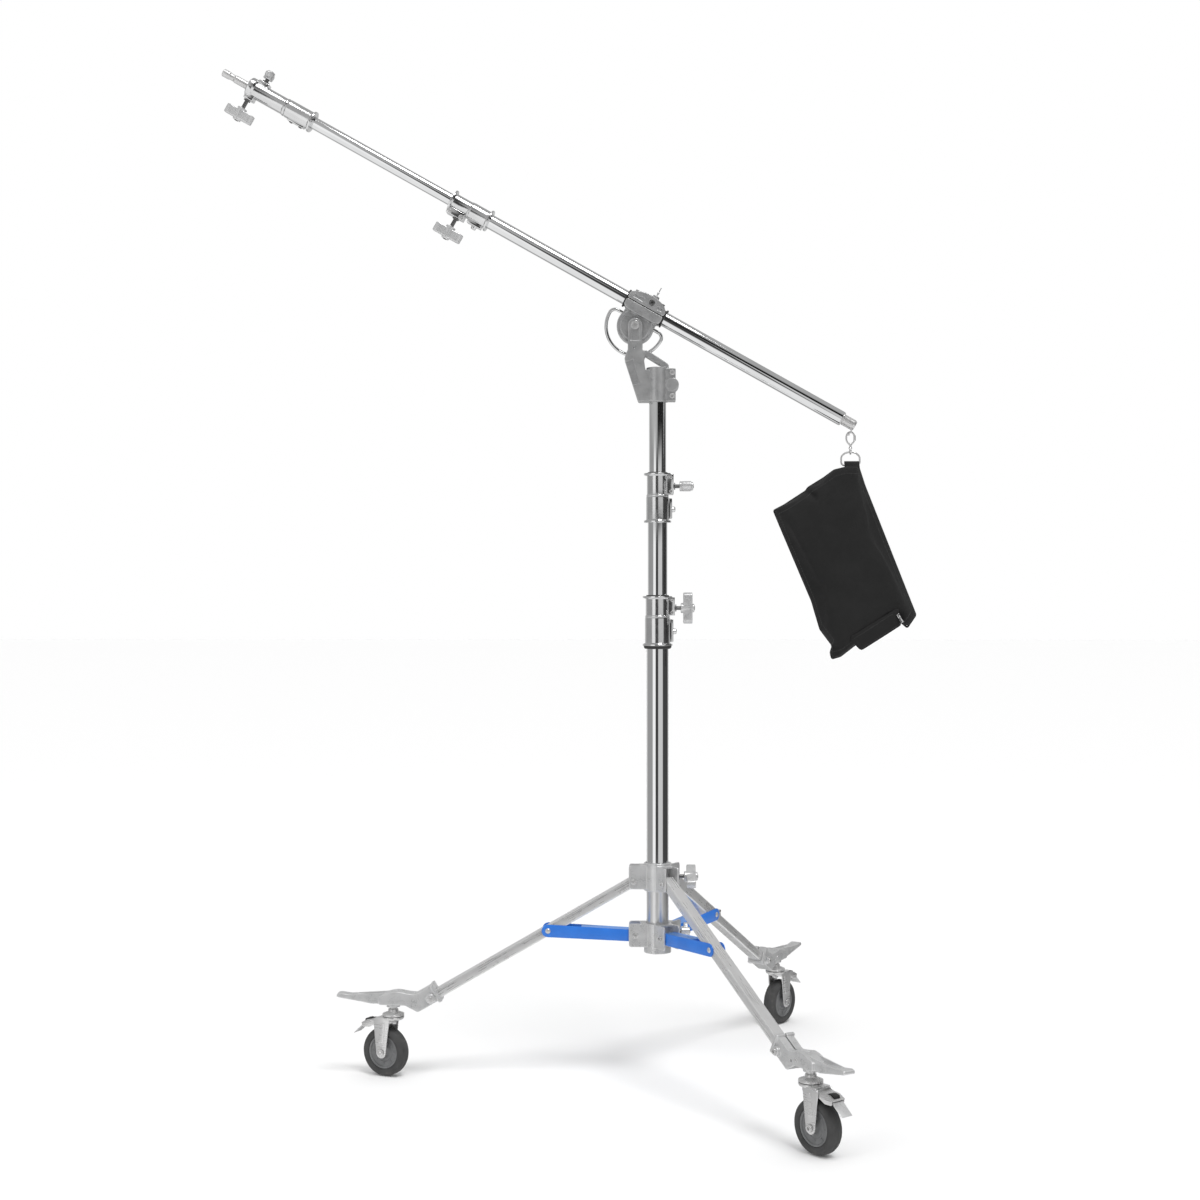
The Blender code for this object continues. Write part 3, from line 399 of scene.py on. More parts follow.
def applied(obj):
    """The object with its modifiers, or its curve, made into its own mesh and welded."""
    mesh = mesh_now(obj)
    shape = bmesh.new()
    shape.from_mesh(mesh)
    bmesh.ops.remove_doubles(shape, verts=shape.verts, dist=1e-6)
    bpy.data.meshes.remove(mesh)
    bpy.data.objects.remove(obj)
    return solid(shape)


def moved(obj, *transforms):
    for transform in transforms:
        obj.data.transform(transform)
    return obj


def shifted(obj, x=0.0, y=0.0, z=0.0):
    return moved(obj, Matrix.Translation((x, y, z)))


def gathered(*objects):
    """Closed shapes kept as they are in one mesh."""
    shape = bmesh.new()
    for obj in objects:
        shape.from_mesh(obj.data)
        bpy.data.objects.remove(obj)
    return solid(shape)


def rounded(points, radius, closed=False, steps=3):
    """The outline with a short curve in place of each corner."""
    made = []
    for i, point in enumerate(points):
        here = Vector(point)
        if not closed and i in (0, len(points) - 1):
            made.append(here)
            continue
        back, ahead = Vector(points[i - 1]) - here, Vector(points[(i + 1) % len(points)]) - here
        reach = min(radius, 0.45 * back.length, 0.45 * ahead.length)
        first, last = here + back.normalized() * reach, here + ahead.normalized() * reach
        for step in range(steps + 1):
            t = step / steps
            made.append(first * (1 - t) ** 2 + here * 2 * t * (1 - t) + last * t**2)
    return made


def lofted(rings, closed):
    """Rings of as many points each, joined in order, and round to the first if closed."""
    shape = bmesh.new()
    loops = [[shape.verts.new(point) for point in ring] for ring in rings]
    following = loops[1:] + loops[:1] if closed else loops[1:]
    for upper, lower in zip(loops, following):
        for i in range(len(upper)):
            j = (i + 1) % len(upper)
            shape.faces.new((upper[i], lower[i], lower[j], upper[j]))
    bmesh.ops.remove_doubles(shape, verts=shape.verts, dist=1e-7)
    holes = [edge for edge in shape.edges if edge.is_boundary]
    if holes:
        bmesh.ops.holes_fill(shape, edges=holes)
    return solid(shape)


def turned(profile, soft=0.0006, closed=False, sides=64):
    """A turned shape from (radius, height) pairs, with its corners softened."""
    turns = [2 * pi * i / sides for i in range(sides)]
    rings = [[(radius * cos(a), radius * sin(a), height) for a in turns]
             for radius, height in rounded(profile, soft, closed)]
    return lofted(rings, closed)


def hoop(inner, outer, bottom, top, soft=0.0004, sides=96):
    """A ring about Z with a rectangular section."""
    return turned([(inner, top), (outer, top), (outer, bottom), (inner, bottom)], soft, True, sides)


def tube(radius, wall, bottom, top, sides=96):
    return hoop(radius - wall, radius, bottom, top, sides=sides)


def drum(radius, bottom, top, soft, sides):
    """A solid cylinder about Z."""
    return turned([(0, top), (radius, top), (radius, bottom), (0, bottom)], soft, sides=sides)


def mirrored(profile):
    """A profile of (radius, height) pairs, and then its mirror image below."""
    return profile + [(radius, -height) for radius, height in reversed(profile)]


def box(low, high, soft=0.0008, segments=2):
    low, high = Vector(low), Vector(high)
    shape = bmesh.new()
    bmesh.ops.create_cube(shape, size=1)
    shape.transform(Matrix.Translation((low + high) / 2) @ Matrix.Diagonal((*(high - low), 1)))
    if soft:
        bmesh.ops.bevel(shape, geom=shape.edges[:], offset=soft, segments=segments,
                        profile=0.5, affect="EDGES")
    return solid(shape)


def pin(start, end, radius, far_radius=None, soft=0.0005, sides=40):
    """A round bar or cone between two points, its rims softened. Six sides make a hexagon."""
    start, end = Vector(start), Vector(end)
    far_radius = radius if far_radius is None else far_radius
    length = (end - start).length
    made = turned([(0, length), (far_radius, length), (radius, 0), (0, 0)], soft, False, sides)
    return moved(made, Matrix.Translation(start) @ facing(end - start))


def cross_pin(x, z, low_y, high_y, radius, **shape):
    return pin((x, low_y, z), (x, high_y, z), radius, **shape)


def arc(centre, radius, start, end, steps):
    angles = [radians(start + (end - start) * i / steps) for i in range(steps + 1)]
    return [(centre[0] + radius * cos(a), centre[1] + radius * sin(a)) for a in angles]


def plate(outline, low_y, high_y, soft=0.0008, corner=0.0):
    """An outline of (x, z) points between two heights of Y, its corners and its rims rounded."""
    if corner:
        outline = rounded(outline, corner, True, 5)
    curve = bpy.data.curves.new("outline", "CURVE")
    curve.dimensions, curve.fill_mode = "2D", "BOTH"
    curve.extrude = (high_y - low_y) / 2 - soft
    curve.bevel_depth, curve.offset, curve.bevel_resolution = soft, -soft, 1
    spline = curve.splines.new("POLY")
    spline.points.add(len(outline) - 1)
    for point, (x, z) in zip(spline.points, outline):
        point.co = (x, z, 0, 1)
    spline.use_cyclic_u = True
    upright = Matrix.Translation((0, (low_y + high_y) / 2, 0)) @ Matrix.Rotation(pi / 2, 4, "X")
    return moved(applied(linked("plate", curve)), upright)


def side_plates(outline, near, far, soft=0.0008, corner=0.0):
    """The same plate on both sides of Y = 0."""
    return [plate(outline, near, far, soft, corner), plate(outline, -far, -near, soft, corner)]


def wire(points, radius, closed=False, resolution=4):
    curve = bpy.data.curves.new("wire", "CURVE")
    curve.dimensions, curve.bevel_depth, curve.bevel_resolution = "3D", radius, resolution
    curve.use_fill_caps = True
    spline = curve.splines.new("POLY")
    spline.points.add(len(points) - 1)
    for point, place in zip(spline.points, points):
        point.co = (*place, 1)
    spline.use_cyclic_u = closed
    return applied(linked("wire", curve))


def combined(target, others, operation):
    for other in others:
        step = target.modifiers.new(operation, "BOOLEAN")
        step.operation, step.solver, step.object = operation, "MANIFOLD", other
        target = applied(target)
        bpy.data.objects.remove(other)
    return target


def cut(target, *cutters):
    return combined(target, cutters, "DIFFERENCE")


def joined(target, *others):
    return combined(target, others, "UNION")


def cast(obj, voxel=0.0008, smooth=5, share=0.45):
    """The solid as a casting: its edges and inner corners rounded, and its skin even."""
    remesh = obj.modifiers.new("remesh", "REMESH")
    remesh.mode, remesh.voxel_size = "VOXEL", voxel
    even = obj.modifiers.new("even", "SMOOTH")
    even.factor, even.iterations = 0.5, smooth
    fewer = obj.modifiers.new("fewer", "DECIMATE")
    fewer.ratio = share
    return applied(obj)


def crisp(obj, width=0.0005):
    """A sheet-metal or machined solid with its edges slightly rounded."""
    shape = bmesh.new()
    shape.from_mesh(obj.data)
    bmesh.ops.dissolve_limit(shape, angle_limit=radians(1), verts=shape.verts, edges=shape.edges)
    bpy.data.objects.remove(obj)
    made = solid(shape)
    edges = made.modifiers.new("edges", "BEVEL")
    edges.width, edges.segments, edges.limit_method, edges.angle_limit = width, 2, "ANGLE", radians(35)
    return applied(made)


def bolt_head(radius, height):
    """A cap screw's head on Z = 0, with a hexagonal socket."""
    head = drum(radius, 0, height, 0.0005, 40)
    return cut(head, shifted(drum(radius * 0.52, 0, 0.01, 0, 6), z=height * 0.4))


def hex_nut(radius, height):
    nut = pin((0, 0, 0), (0, 0, height), radius, soft=0.0004, sides=6)
    washer = pin((0, 0, 0), (0, 0, 0.0009), radius * 1.12, soft=0.0002)
    return gathered(nut, washer)


def towards(obj, place, direction):
    """Moves a shape that stands on Z = 0 to stand at a place, along a direction."""
    return moved(obj, Matrix.Translation(place) @ facing(direction))


def on_side(obj, x, y, z):
    """Moves a shape that stands on Z = 0 to stand at a place, facing out to the side that its Y is on."""
    return towards(obj, (x, y, z), (0, 1 if y > 0 else -1, 0))


def piece(name, obj, finish, body, at=STAND, stands_for=(), crease=38):
    obj.name = obj.data.name = name
    obj.data.materials.clear()
    obj.data.materials.append(MATERIALS[finish])
    obj.data.shade_smooth()
    obj.data.set_sharp_from_angle(angle=radians(crease))
    obj.matrix_world = at
    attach(obj, body)
    if stands_for:
        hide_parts(*stands_for)
    return obj


def copy_of(obj):
    return linked(obj.name, obj.data)


# ---- knobs ----
def t_knob(reach, bar_length, bar_height, hub):
    """A clamp knob pointing along +Z from its seat, its bar along X: its casting and its stud."""
    half, foot = bar_length / 2, reach + 0.005
    boss = turned([(0, reach + hub), (0.0085, reach + hub), (0.0105, reach), (0, reach)], 0.0015, sides=48)
    ends = arc((half - bar_height / 2, 0), bar_height / 2, -90, 90, 12)
    outline = ends + [(-x, -y) for x, y in ends]
    flat = Matrix.Rotation(-pi / 2, 4, "X")
    wings = moved(plate(outline, -foot - hub + 0.009, -foot, 0.0016), flat)
    grips = []
    for middle in (-half * 0.66, half * 0.66):
        outline = arc((middle, 0), bar_height * 0.26, 0, 360, 20)[:-1]
        for height in (foot + hub - 0.009, foot):
            hollow = moved(plate(outline, -0.0012, 0.0012, 0.0005), flat)
            grips.append(shifted(hollow, z=height))
    casting = cast(cut(joined(boss, wings), *grips), 0.0006, 5, 0.5)
    stud = drum(0.0040, -0.009, reach + 0.001, 0.0003, 32)
    washer = drum(0.0072, 0.0008, 0.0030, 0.0004, 40)
    cap = drum(0.0042, reach + hub - 0.001, reach + hub + 0.0010, 0.0004, 32)
    return casting, gathered(stud, washer, cap)


def place_knob(node, shapes, body, frame_at, seat, direction, spin):
    turn = facing(direction) @ Matrix.Rotation(radians(spin), 4, "Z")
    at = frame_at @ Matrix.Translation(seat) @ turn
    piece(node + "_casting", copy_of(shapes[0]), "silver", body, at, [node])
    piece(node + "_stud", copy_of(shapes[1]), "dark_steel", body, at)


# ---- column ----
def clamp_collar(length, split, lower_bore, upper_bore):
    """A clamp collar on Z = 0: its turned shell, its split clamp block and pad, and its bolts."""
    lower, upper, lip = lower_bore + 0.0031, lower_bore + 0.0016, lower_bore + 0.0078
    shell = turned([
        (upper_bore, length), (lip, length), (lip, length - 0.0035), (upper, length - 0.0055),
        (upper, split + 0.0030), (upper + 0.0012, split + 0.0022), (upper + 0.0012, split + 0.0004),
        (lower - 0.0008, split - 0.0004), (lower, split - 0.0022), (lower, 0.0055), (lip, 0.0035), (lip, 0),
        (lower_bore, 0), (lower_bore, split - 0.001), (upper_bore, split - 0.001)], 0.0007, True, 96)
    inner = upper + 0.0002
    jaws = []
    for side in (-1, 1):
        near, far = sorted((side * 0.0007, side * 0.0130))
        jaw_end = (lower_bore + 0.0125, far, length - 0.0015)
        jaws.append(box((inner - 0.004, near, split + 0.003), jaw_end, 0.0014, 3))
    pad = box((inner - 0.002, -0.0080, 0.0075), (lower_bore + 0.0095, 0.0080, split - 0.0045), 0.0016, 3)
    dome = pin((inner, 0, split / 2), (lower_bore + 0.0162, 0, split / 2), 0.0070, 0.0052, soft=0.0018)
    bolts, bolt_x = [], lower_bore + 0.0072
    for height in (split + 0.0095, length - 0.0085):
        bolts.append(on_side(bolt_head(0.0034, 0.0030), bolt_x, -0.0129, height))
        bolts.append(on_side(hex_nut(0.0040, 0.0028), bolt_x, 0.0129, height))
    return gathered(shell, *jaws, pad, dome), gathered(*bolts)


def place_collar(node, knob, body, at, length, split, bores, spin):
    casting, bolts = clamp_collar(length, split, *bores)
    piece(node + "_casting", casting, "plated", body, at, [node])
    piece(node + "_bolts", bolts, "satin", body, at)
    seat = (bores[0] + 0.0125 + GAP, 0, (split + length) / 2 - 0.003)
    place_knob(node + "_knob", knob, node + "_knob", at, seat, (1, 0, 0), spin)


def build_column(knob):
    bottom, top = (corner.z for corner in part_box("base_tube"))
    base_tube = tube(BASE_RADIUS, WALL, bottom, top)
    piece("base_tube_plated", base_tube, "base_tube", "base", STAND, ["base_tube"])
    cap_radius = BASE_RADIUS - WALL - 0.0002
    cap = turned([(0, bottom + 0.004), (cap_radius, bottom + 0.004), (cap_radius, bottom + 0.0008),
                  (0.0150, bottom + 0.0008), (0.0140, bottom + 0.0020), (0, bottom + 0.0020)], 0.0004)
    piece("base_tube_cap", cap, "black", "base")
    for node, radius in (("riser_1", RISER_1_RADIUS), ("riser_2", RISER_2_RADIUS)):
        bottom, top = (corner.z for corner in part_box(node))
        piece(node + "_plated", tube(radius, WALL, bottom, top), "chrome", node, STAND, [node])
        bush = tube(radius + 0.00075, 0.0007, bottom + 0.002, bottom + 0.022, 64)
        piece(node + "_bush", bush, "black", node)

    for node, body, split, bores, spin in (
        ("base_collar", "base", 0.0590, (BASE_RADIUS + GAP, RISER_1_RADIUS + 2 * GAP), 90),
        ("riser_collar", "riser_1", 0.0541, (RISER_1_RADIUS + GAP, RISER_2_RADIUS + 2 * GAP), 0),
    ):
        low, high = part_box(node)
        at = STAND @ Matrix.Translation((0, 0, low.z))
        place_collar(node, knob, body, at, high.z - low.z, split, bores, spin)
        lip = bores[1]
        wiper = turned([(lip, 0.0022), (lip + 0.0022, 0.0022), (lip + 0.0030, 0), (lip, 0)], 0.0003, True, 72)
        piece(node + "_wiper", wiper, "black", body, at @ Matrix.Translation((0, 0, high.z - low.z)))
    low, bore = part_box("base_collar")[0].z, BASE_RADIUS + GAP
    ring = turned([(bore, low - GAP), (0.0285, low - GAP), (0.0285, low - 0.0030), (0.0262, low - 0.0062),
                   (bore, low - 0.0062)], 0.0006, True, 96)
    piece("base_collar_ring", ring, "black", "base")


# ---- legs ----
def pivot_width(leg):
    return SLEEVE_WIDTH if leg == "rear" else LEG_WIDTH


def brace_width(leg):
    return pivot_width(leg) + 0.0052


def ear_pair(gap, low, high):
    outline = [(0.0120, low), (LUG_REACH, low), (LUG_REACH, high), (0.0120, high)]
    return side_plates(outline, gap / 2, gap / 2 + EAR, 0.0006, 0.006)


def lug_casting(bottom, top, low, high, gaps, boss_height, boss_radius, boss_reach):
    bore = BASE_RADIUS + 2 * GAP
    body = hoop(bore - 0.003, 0.0280, bottom, top, 0.0012, 72)
    for leg in LEGS:
        side = gaps[leg] / 2 + 0.001
        web = box((0.0200, -side, high - 0.005), (0.0360, side, high), 0.001)
        lugs = [*ear_pair(gaps[leg], low, high), web]
        body = joined(body, *[moved(shape, leg_frame(leg).to_3x3().to_4x4()) for shape in lugs])
    boss = pin((0.0240, 0, boss_height), (boss_reach, 0, boss_height), boss_radius, soft=0.0015)
    hole = pin((bore - 0.001, 0, boss_height), (0.0600, 0, boss_height), 0.0046, soft=0)
    opening = pin((0, 0, bottom - 0.02), (0, 0, top + 0.02), bore, soft=0, sides=96)
    return cast(cut(joined(body, boss), opening, hole), 0.0007, 4, 0.4)


def build_collars(knob, small_knob):
    low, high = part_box("leg_collar")
    gaps = {leg: pivot_width(leg) + 2 * GAP for leg in LEGS}
    casting = lug_casting(low.z, high.z, low.z + 0.004, high.z - 0.005, gaps, 0.4160, 0.0095, 0.0420)
    piece("leg_collar_casting", casting, "silver", "leg_slider", STAND, ["leg_collar"])
    place_knob("leg_collar_knob", knob, "leg_collar_knob", STAND, (0.0423, 0, 0.4160), (1, 0, 0), 32)

    low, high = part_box("brace_collar")
    gaps = {leg: brace_width(leg) + 2 * GAP for leg in LEGS}
    casting = lug_casting(low.z, high.z, low.z + 0.013, high.z, gaps, 0.3030, 0.0075, 0.0400)
    piece("brace_collar_casting", casting, "silver", "base", STAND, ["brace_collar"])
    seat = (0.0403, 0, 0.3030)
    place_knob("brace_collar_knob", small_knob, "brace_collar_knob", STAND, seat, (1, 0, 0), 60)
    for leg in LEGS:
        outside = gaps[leg] / 2 + EAR
        x, z = BRACE_PIVOT
        shank = cross_pin(x, z, -outside, outside, 0.0028)
        head = on_side(bolt_head(0.0055, 0.0038), x, -outside, z)
        nut = on_side(hex_nut(0.0056, 0.0036), x, outside, z)
        piece(leg + "_brace_bolt", gathered(shank, head, nut), "satin", "base", leg_frame(leg))


def square_tube(width, height, wall, start, end, corner=0.0030, soft=0.0004):
    """A rectangular tube along +X with round corners and softened ends."""
    def section(x, inset):
        bend = max(corner - inset, 0.0008)
        mid_y, mid_z = width / 2 - inset - bend, height / 2 - inset - bend
        corners = ((1, 1, 0), (-1, 1, 90), (-1, -1, 180), (1, -1, 270))
        return [(x, y, z) for side_y, side_z, turn in corners
                for y, z in arc((side_y * mid_y, side_z * mid_z), bend, turn, turn + 90, 6)]

    low, high, deep = start + soft, end - soft, wall - soft
    walk = [(low, 0), (high, 0), (end, soft), (end, deep)]
    walk += [(high, wall), (low, wall), (start, deep), (start, soft)]
    return lofted([section(*step) for step in walk], True)


def leg_bolt(leg):
    """The bolt through a leg's ears, about the leg's own pivot."""
    outside = (pivot_width(leg) + 2 * GAP) / 2 + EAR + GAP
    shank = cross_pin(0, 0, -outside, outside, 0.0028)
    head = on_side(bolt_head(0.0055, 0.0036), 0, -outside, 0)
    nut = on_side(hex_nut(0.0058, 0.0040), 0, outside, 0)
    thread = cross_pin(0, 0, outside + 0.0038, outside + 0.0046, 0.0027)
    return gathered(shank, head, nut, thread)


def brace(leg):
    """A folded channel along +X, its web cut back where the leg passes through it, and its rivets."""
    outer, half, sheet = brace_width(leg), 0.0130, 0.0020
    pin_x = LEG_PIVOT[0] + BRACE_PIN_ALONG * cos(LEG_ANGLE)
    pin_z = LEG_PIVOT[1] - BRACE_PIN_ALONG * sin(LEG_ANGLE)
    length = hypot(pin_x - BRACE_PIVOT[0], pin_z - BRACE_PIVOT[1])
    rise = atan2(pin_z - BRACE_PIVOT[1], pin_x - BRACE_PIVOT[0])
    outline = arc((0, -0.001), half - 0.001, 90, 270, 16) + arc((length, 0), half, -90, 90, 16)
    inner_wall = outer / 2 - sheet
    body = plate(outline, -outer / 2, outer / 2, 0.0016)
    inside = box((-0.05, -inner_wall, -0.05), (length + 0.05, inner_wall, half - sheet), 0)
    opening = box((length - 0.068, -inner_wall, 0), (length + 0.05, inner_wall, 0.05), 0)
    start = box((-0.05, -inner_wall, 0), (0.004, inner_wall, 0.05), 0)
    channel = crisp(cut(body, inside, opening, start), 0.0004)
    rivets = []
    for side in (-1, 1):
        profile = [(0, 0.0026), (0.0036, 0.0021), (0.0056, 0.0002), (0.0056, -0.0006), (0, -0.0006)]
        rivets.append(on_side(turned(profile, 0.0008), length, side * outer / 2, 0))
    at = Matrix.Translation((BRACE_PIVOT[0], 0, BRACE_PIVOT[1])) @ Matrix.Rotation(-rise, 4, "Y")
    return channel, gathered(*rivets), at


def leg_point(along, above=0.0):
    return (LEG_PIVOT[0] + along * cos(LEG_ANGLE) + above * sin(LEG_ANGLE),
            LEG_PIVOT[1] - along * sin(LEG_ANGLE) + above * cos(LEG_ANGLE))


def foot():
    """The casting on a leg's end, in the leg's frame: its casting and its bolts."""
    top = [leg_point(0.470, 0.0215), leg_point(0.506, 0.0215)]
    hump = [(0.5150, 0.1735), (0.5360, 0.1775), (0.5520, 0.1750), (0.5750, 0.1660)]
    under = [(0.5750, 0.1500), (0.5200, 0.1490), leg_point(0.520, -0.0125), leg_point(0.470, -0.0125)]
    body = plate(top + hump + under, -0.0170, 0.0170, 0.0015, 0.004)
    toe = plate([(0.5600, 0.1660), (0.5900, 0.1640), (0.6560, 0.1730), (0.6620, 0.1710), (0.6625, 0.1655),
                 (0.6580, 0.1640), (0.5900, 0.1515), (0.5600, 0.1510)], -0.0120, 0.0120, 0.0015, 0.003)
    lip = moved(box((0.464, -0.0200, -0.0170), (0.4715, 0.0200, 0.0240), 0.0015), ALONG_LEG)
    boss = cross_pin(0.4665, 0.1640, -0.0235, 0.0235, 0.0090, soft=0.0012)
    stem_boss = pin((STEM_OUT, 0, 0.1435), (STEM_OUT, 0, 0.1650), 0.0140, soft=0.0012)
    rib = [(0.5480, 0.1690), (0.5900, 0.1600), (0.6400, 0.1695), (0.5560, 0.1745)]
    ribs = [plate(rib, y - 0.0012, y + 0.0012, 0.0005) for y in (-0.0100, 0.0100)]
    side, height = LEG_WIDTH / 2 + GAP, LEG_HEIGHT / 2 + GAP
    socket = moved(box((0.40, -side, -height), (LEG_END + GAP, side, height), 0.002), ALONG_LEG)
    slit = moved(box((0.45, -0.0014, 0.0), (0.512, 0.0014, 0.03), 0), ALONG_LEG)
    peep = cross_pin(0.5080, 0.1560, -0.03, -0.0120, 0.0026, soft=0)
    hump_slot = box((0.5300, -0.0060, 0.1745), (0.5480, 0.0060, 0.19), 0.001)
    under_toe = box((0.5850, -0.0085, 0.1400), (0.6300, 0.0085, 0.1560), 0.002)
    body = joined(body, toe, lip, boss, stem_boss, *ribs)
    casting = cast(cut(body, socket, slit, peep, hump_slot, under_toe), 0.0008, 4, 0.45)
    head = on_side(bolt_head(0.0058, 0.0042), 0.4665, -0.0232, 0.1640)
    nut = on_side(hex_nut(0.0066, 0.0042), 0.4665, 0.0232, 0.1640)
    pinch = on_side(bolt_head(0.0034, 0.0022), 0.5250, -0.0168, 0.1610)
    return casting, gathered(head, nut, pinch)


def build_legs(casters):
    feet = foot()
    for leg in LEGS:
        at = leg_frame(leg)
        hinge = at @ ALONG_LEG
        end_body = "rear_leg_slide" if leg == "rear" else leg + "_leg"
        if leg == "rear":
            build_rear_leg(hinge)
        else:
            shape = square_tube(LEG_WIDTH, LEG_HEIGHT, WALL, LEG_TOP, LEG_END)
            piece(leg + "_leg_tube", shape, "satin", leg + "_leg", hinge, [leg + "_leg"])
        piece(leg + "_leg_pivot", leg_bolt(leg), "satin", "leg_slider", hinge, [leg + "_leg_bolt"])
        channel, rivets, brace_at = brace(leg)
        piece(leg + "_brace_channel", channel, "paint", leg + "_brace", at @ brace_at, [leg + "_brace"])
        piece(leg + "_brace_rivets", rivets, "satin", leg + "_brace", at @ brace_at)
        piece(leg + "_foot_casting", copy_of(feet[0]), "silver", end_body, at, [leg + "_foot"])
        piece(leg + "_foot_bolts", copy_of(feet[1]), "satin", end_body, at)
        place_caster(leg, casters, end_body)
    for spare in feet:
        bpy.data.objects.remove(spare)


def build_rear_leg(hinge):
    """The rear leg slides in a sleeve, for levelling, with a slot and a pinch screw at the sleeve's end."""
    sleeve = square_tube(SLEEVE_WIDTH, SLEEVE_HEIGHT, SLEEVE_WALL, LEG_TOP, SLEEVE_END)
    slot = box((SLEEVE_END - 0.046, -0.0020, 0.0070), (SLEEVE_END - 0.018, 0.0020, 0.0200), 0.0015)
    piece("rear_leg_sleeve_tube", cut(sleeve, slot), "satin", "rear_leg", hinge, ["rear_leg_sleeve"])
    start, end = SLEEVE_END - 0.0140, SLEEVE_END - 0.0010
    sides = ((-0.0145, -0.0012), (0.0012, 0.0145))
    jaws = [box((start, low, 0.0120), (end, high, 0.0168), 0.0010) for low, high in sides]
    piece("rear_leg_sleeve_jaws", gathered(*jaws), "silver", "rear_leg", hinge)
    screw = on_side(bolt_head(0.0024, 0.0016), SLEEVE_END - 0.0075, -0.0143, 0.0145)
    piece("rear_leg_sleeve_screw", screw, "dark_steel", "rear_leg", hinge)
    inner = square_tube(LEG_WIDTH, LEG_HEIGHT, WALL, INNER_LEG_TOP, LEG_END)
    piece("rear_leg_inner_tube", inner, "satin", "rear_leg_slide", hinge, ["rear_leg_inner"])


# ---- casters ----
def caster_pieces():
    """One caster about its stem: {piece: (shape, finish, node it stands for, body)}."""
    disc, fork_out = 0.0225, FORK_INSIDE + FORK_WALL
    stem = turned([(0, 0.1650), (0.0080, 0.1650), (0.0080, 0.1400), (0.0105, 0.1390), (0.0105, 0.1345),
                   (0.0170, 0.1318), (disc, 0.1296), (disc, 0.1258), (0.0050, 0.1250), (0.0050, 0.1075),
                   (0, 0.1075)], 0.0005, sides=72)
    king_nut = pin((0, 0, 0.1085), (0, 0, 0.1140), 0.0070, sides=6)
    race = hoop(0.0056, disc - 0.0014, 0.1243, 0.1257, 0.0002, 72)
    top_plate = turned([(0.0056, 0.1242), (disc, 0.1242), (disc, 0.1215), (disc - 0.002, 0.1185),
                        (0.0056, 0.1180)], 0.0006, True, 72)
    end = arc((TRAIL, WHEEL_RADIUS), 0.0115, 180, 360, 18)
    outline = [(0.0365, 0.1160), (0.0300, 0.1220), (-0.0020, 0.1220), (0.0015, 0.0900)] + end
    spine = [(0.0190, 0.1120), (0.0080, 0.1120), (0.0110, 0.0700), (0.0250, 0.0700)]
    sheets = side_plates(outline, FORK_INSIDE, fork_out)
    sheets += side_plates(spine, fork_out - 0.0005, fork_out + 0.0009, 0.0006, 0.003)
    bridge = box((-0.0035, -FORK_INSIDE - 0.001, 0.1184), (0.0305, FORK_INSIDE + 0.001, 0.1222), 0.0008)
    skirt = box((-0.0035, -FORK_INSIDE - 0.001, 0.1120), (-0.0015, FORK_INSIDE + 0.001, 0.1210), 0.0006)
    fork = gathered(top_plate, bridge, skirt, *sheets)

    tread = [(0.0345, 0.0128), (0.0400, 0.0150), (0.0440, 0.0148), (0.0480, 0.0118), (WHEEL_RADIUS, 0.0070),
             (WHEEL_RADIUS, 0.0012), (0.0494, 0.0006)]
    web = [(0.0044, 0.0165), (0.0095, 0.0165), (0.0110, 0.0120), (0.0130, 0.0085), (0.0190, 0.0078),
           (0.0205, 0.0092), (0.0222, 0.0078), (0.0295, 0.0086), (0.0310, 0.0112), (0.0342, 0.0118)]
    tyre, hub = turned(mirrored(tread), 0.0012, True, 128), turned(mirrored(web), 0.0006, True, 96)
    ribs = []
    for i in range(8):
        for side in (-1, 1):
            low, high = sorted((side * 0.0070, side * 0.0090))
            rib = box((0.0225, -0.0011, low), (0.0300, 0.0011, high), 0.0005)
            ribs.append(moved(rib, Matrix.Rotation(i * pi / 4, 4, "Z")))
    bearing = [hoop(0.0042, 0.0078, side * 0.0150, side * 0.0168, 0.0003, 48) for side in (-1, 1)]
    upright = Matrix.Translation((TRAIL, 0, WHEEL_RADIUS)) @ Matrix.Rotation(-pi / 2, 4, "X")
    tyre, hub = moved(tyre, upright), moved(gathered(hub, *ribs), upright)
    bearing = moved(gathered(*bearing), upright)

    outside = fork_out + 0.0012
    axle = gathered(cross_pin(TRAIL, WHEEL_RADIUS, -outside, outside, 0.0039),
                    on_side(hex_nut(0.0070, 0.0042), TRAIL, outside, WHEEL_RADIUS),
                    on_side(bolt_head(0.0070, 0.0034), TRAIL, -outside, WHEEL_RADIUS),
                    cross_pin(TRAIL, WHEEL_RADIUS, outside + 0.0040, outside + 0.0052, 0.0036))
    return {
        "stem": (gathered(stem, king_nut), "satin", "caster_stem", "end"),
        "race": (race, "black", None, "end"),
        "fork": (fork, "satin", "caster_fork", "fork"),
        "tyre": (tyre, "tyre", "caster_tyre", "wheel"),
        "hub": (hub, "hub", "caster_hub", "wheel"),
        "bearing": (bearing, "dark_steel", None, "wheel"),
        "axle": (axle, "satin", "caster_axle", "fork"),
        **pedal_pieces(),
    }


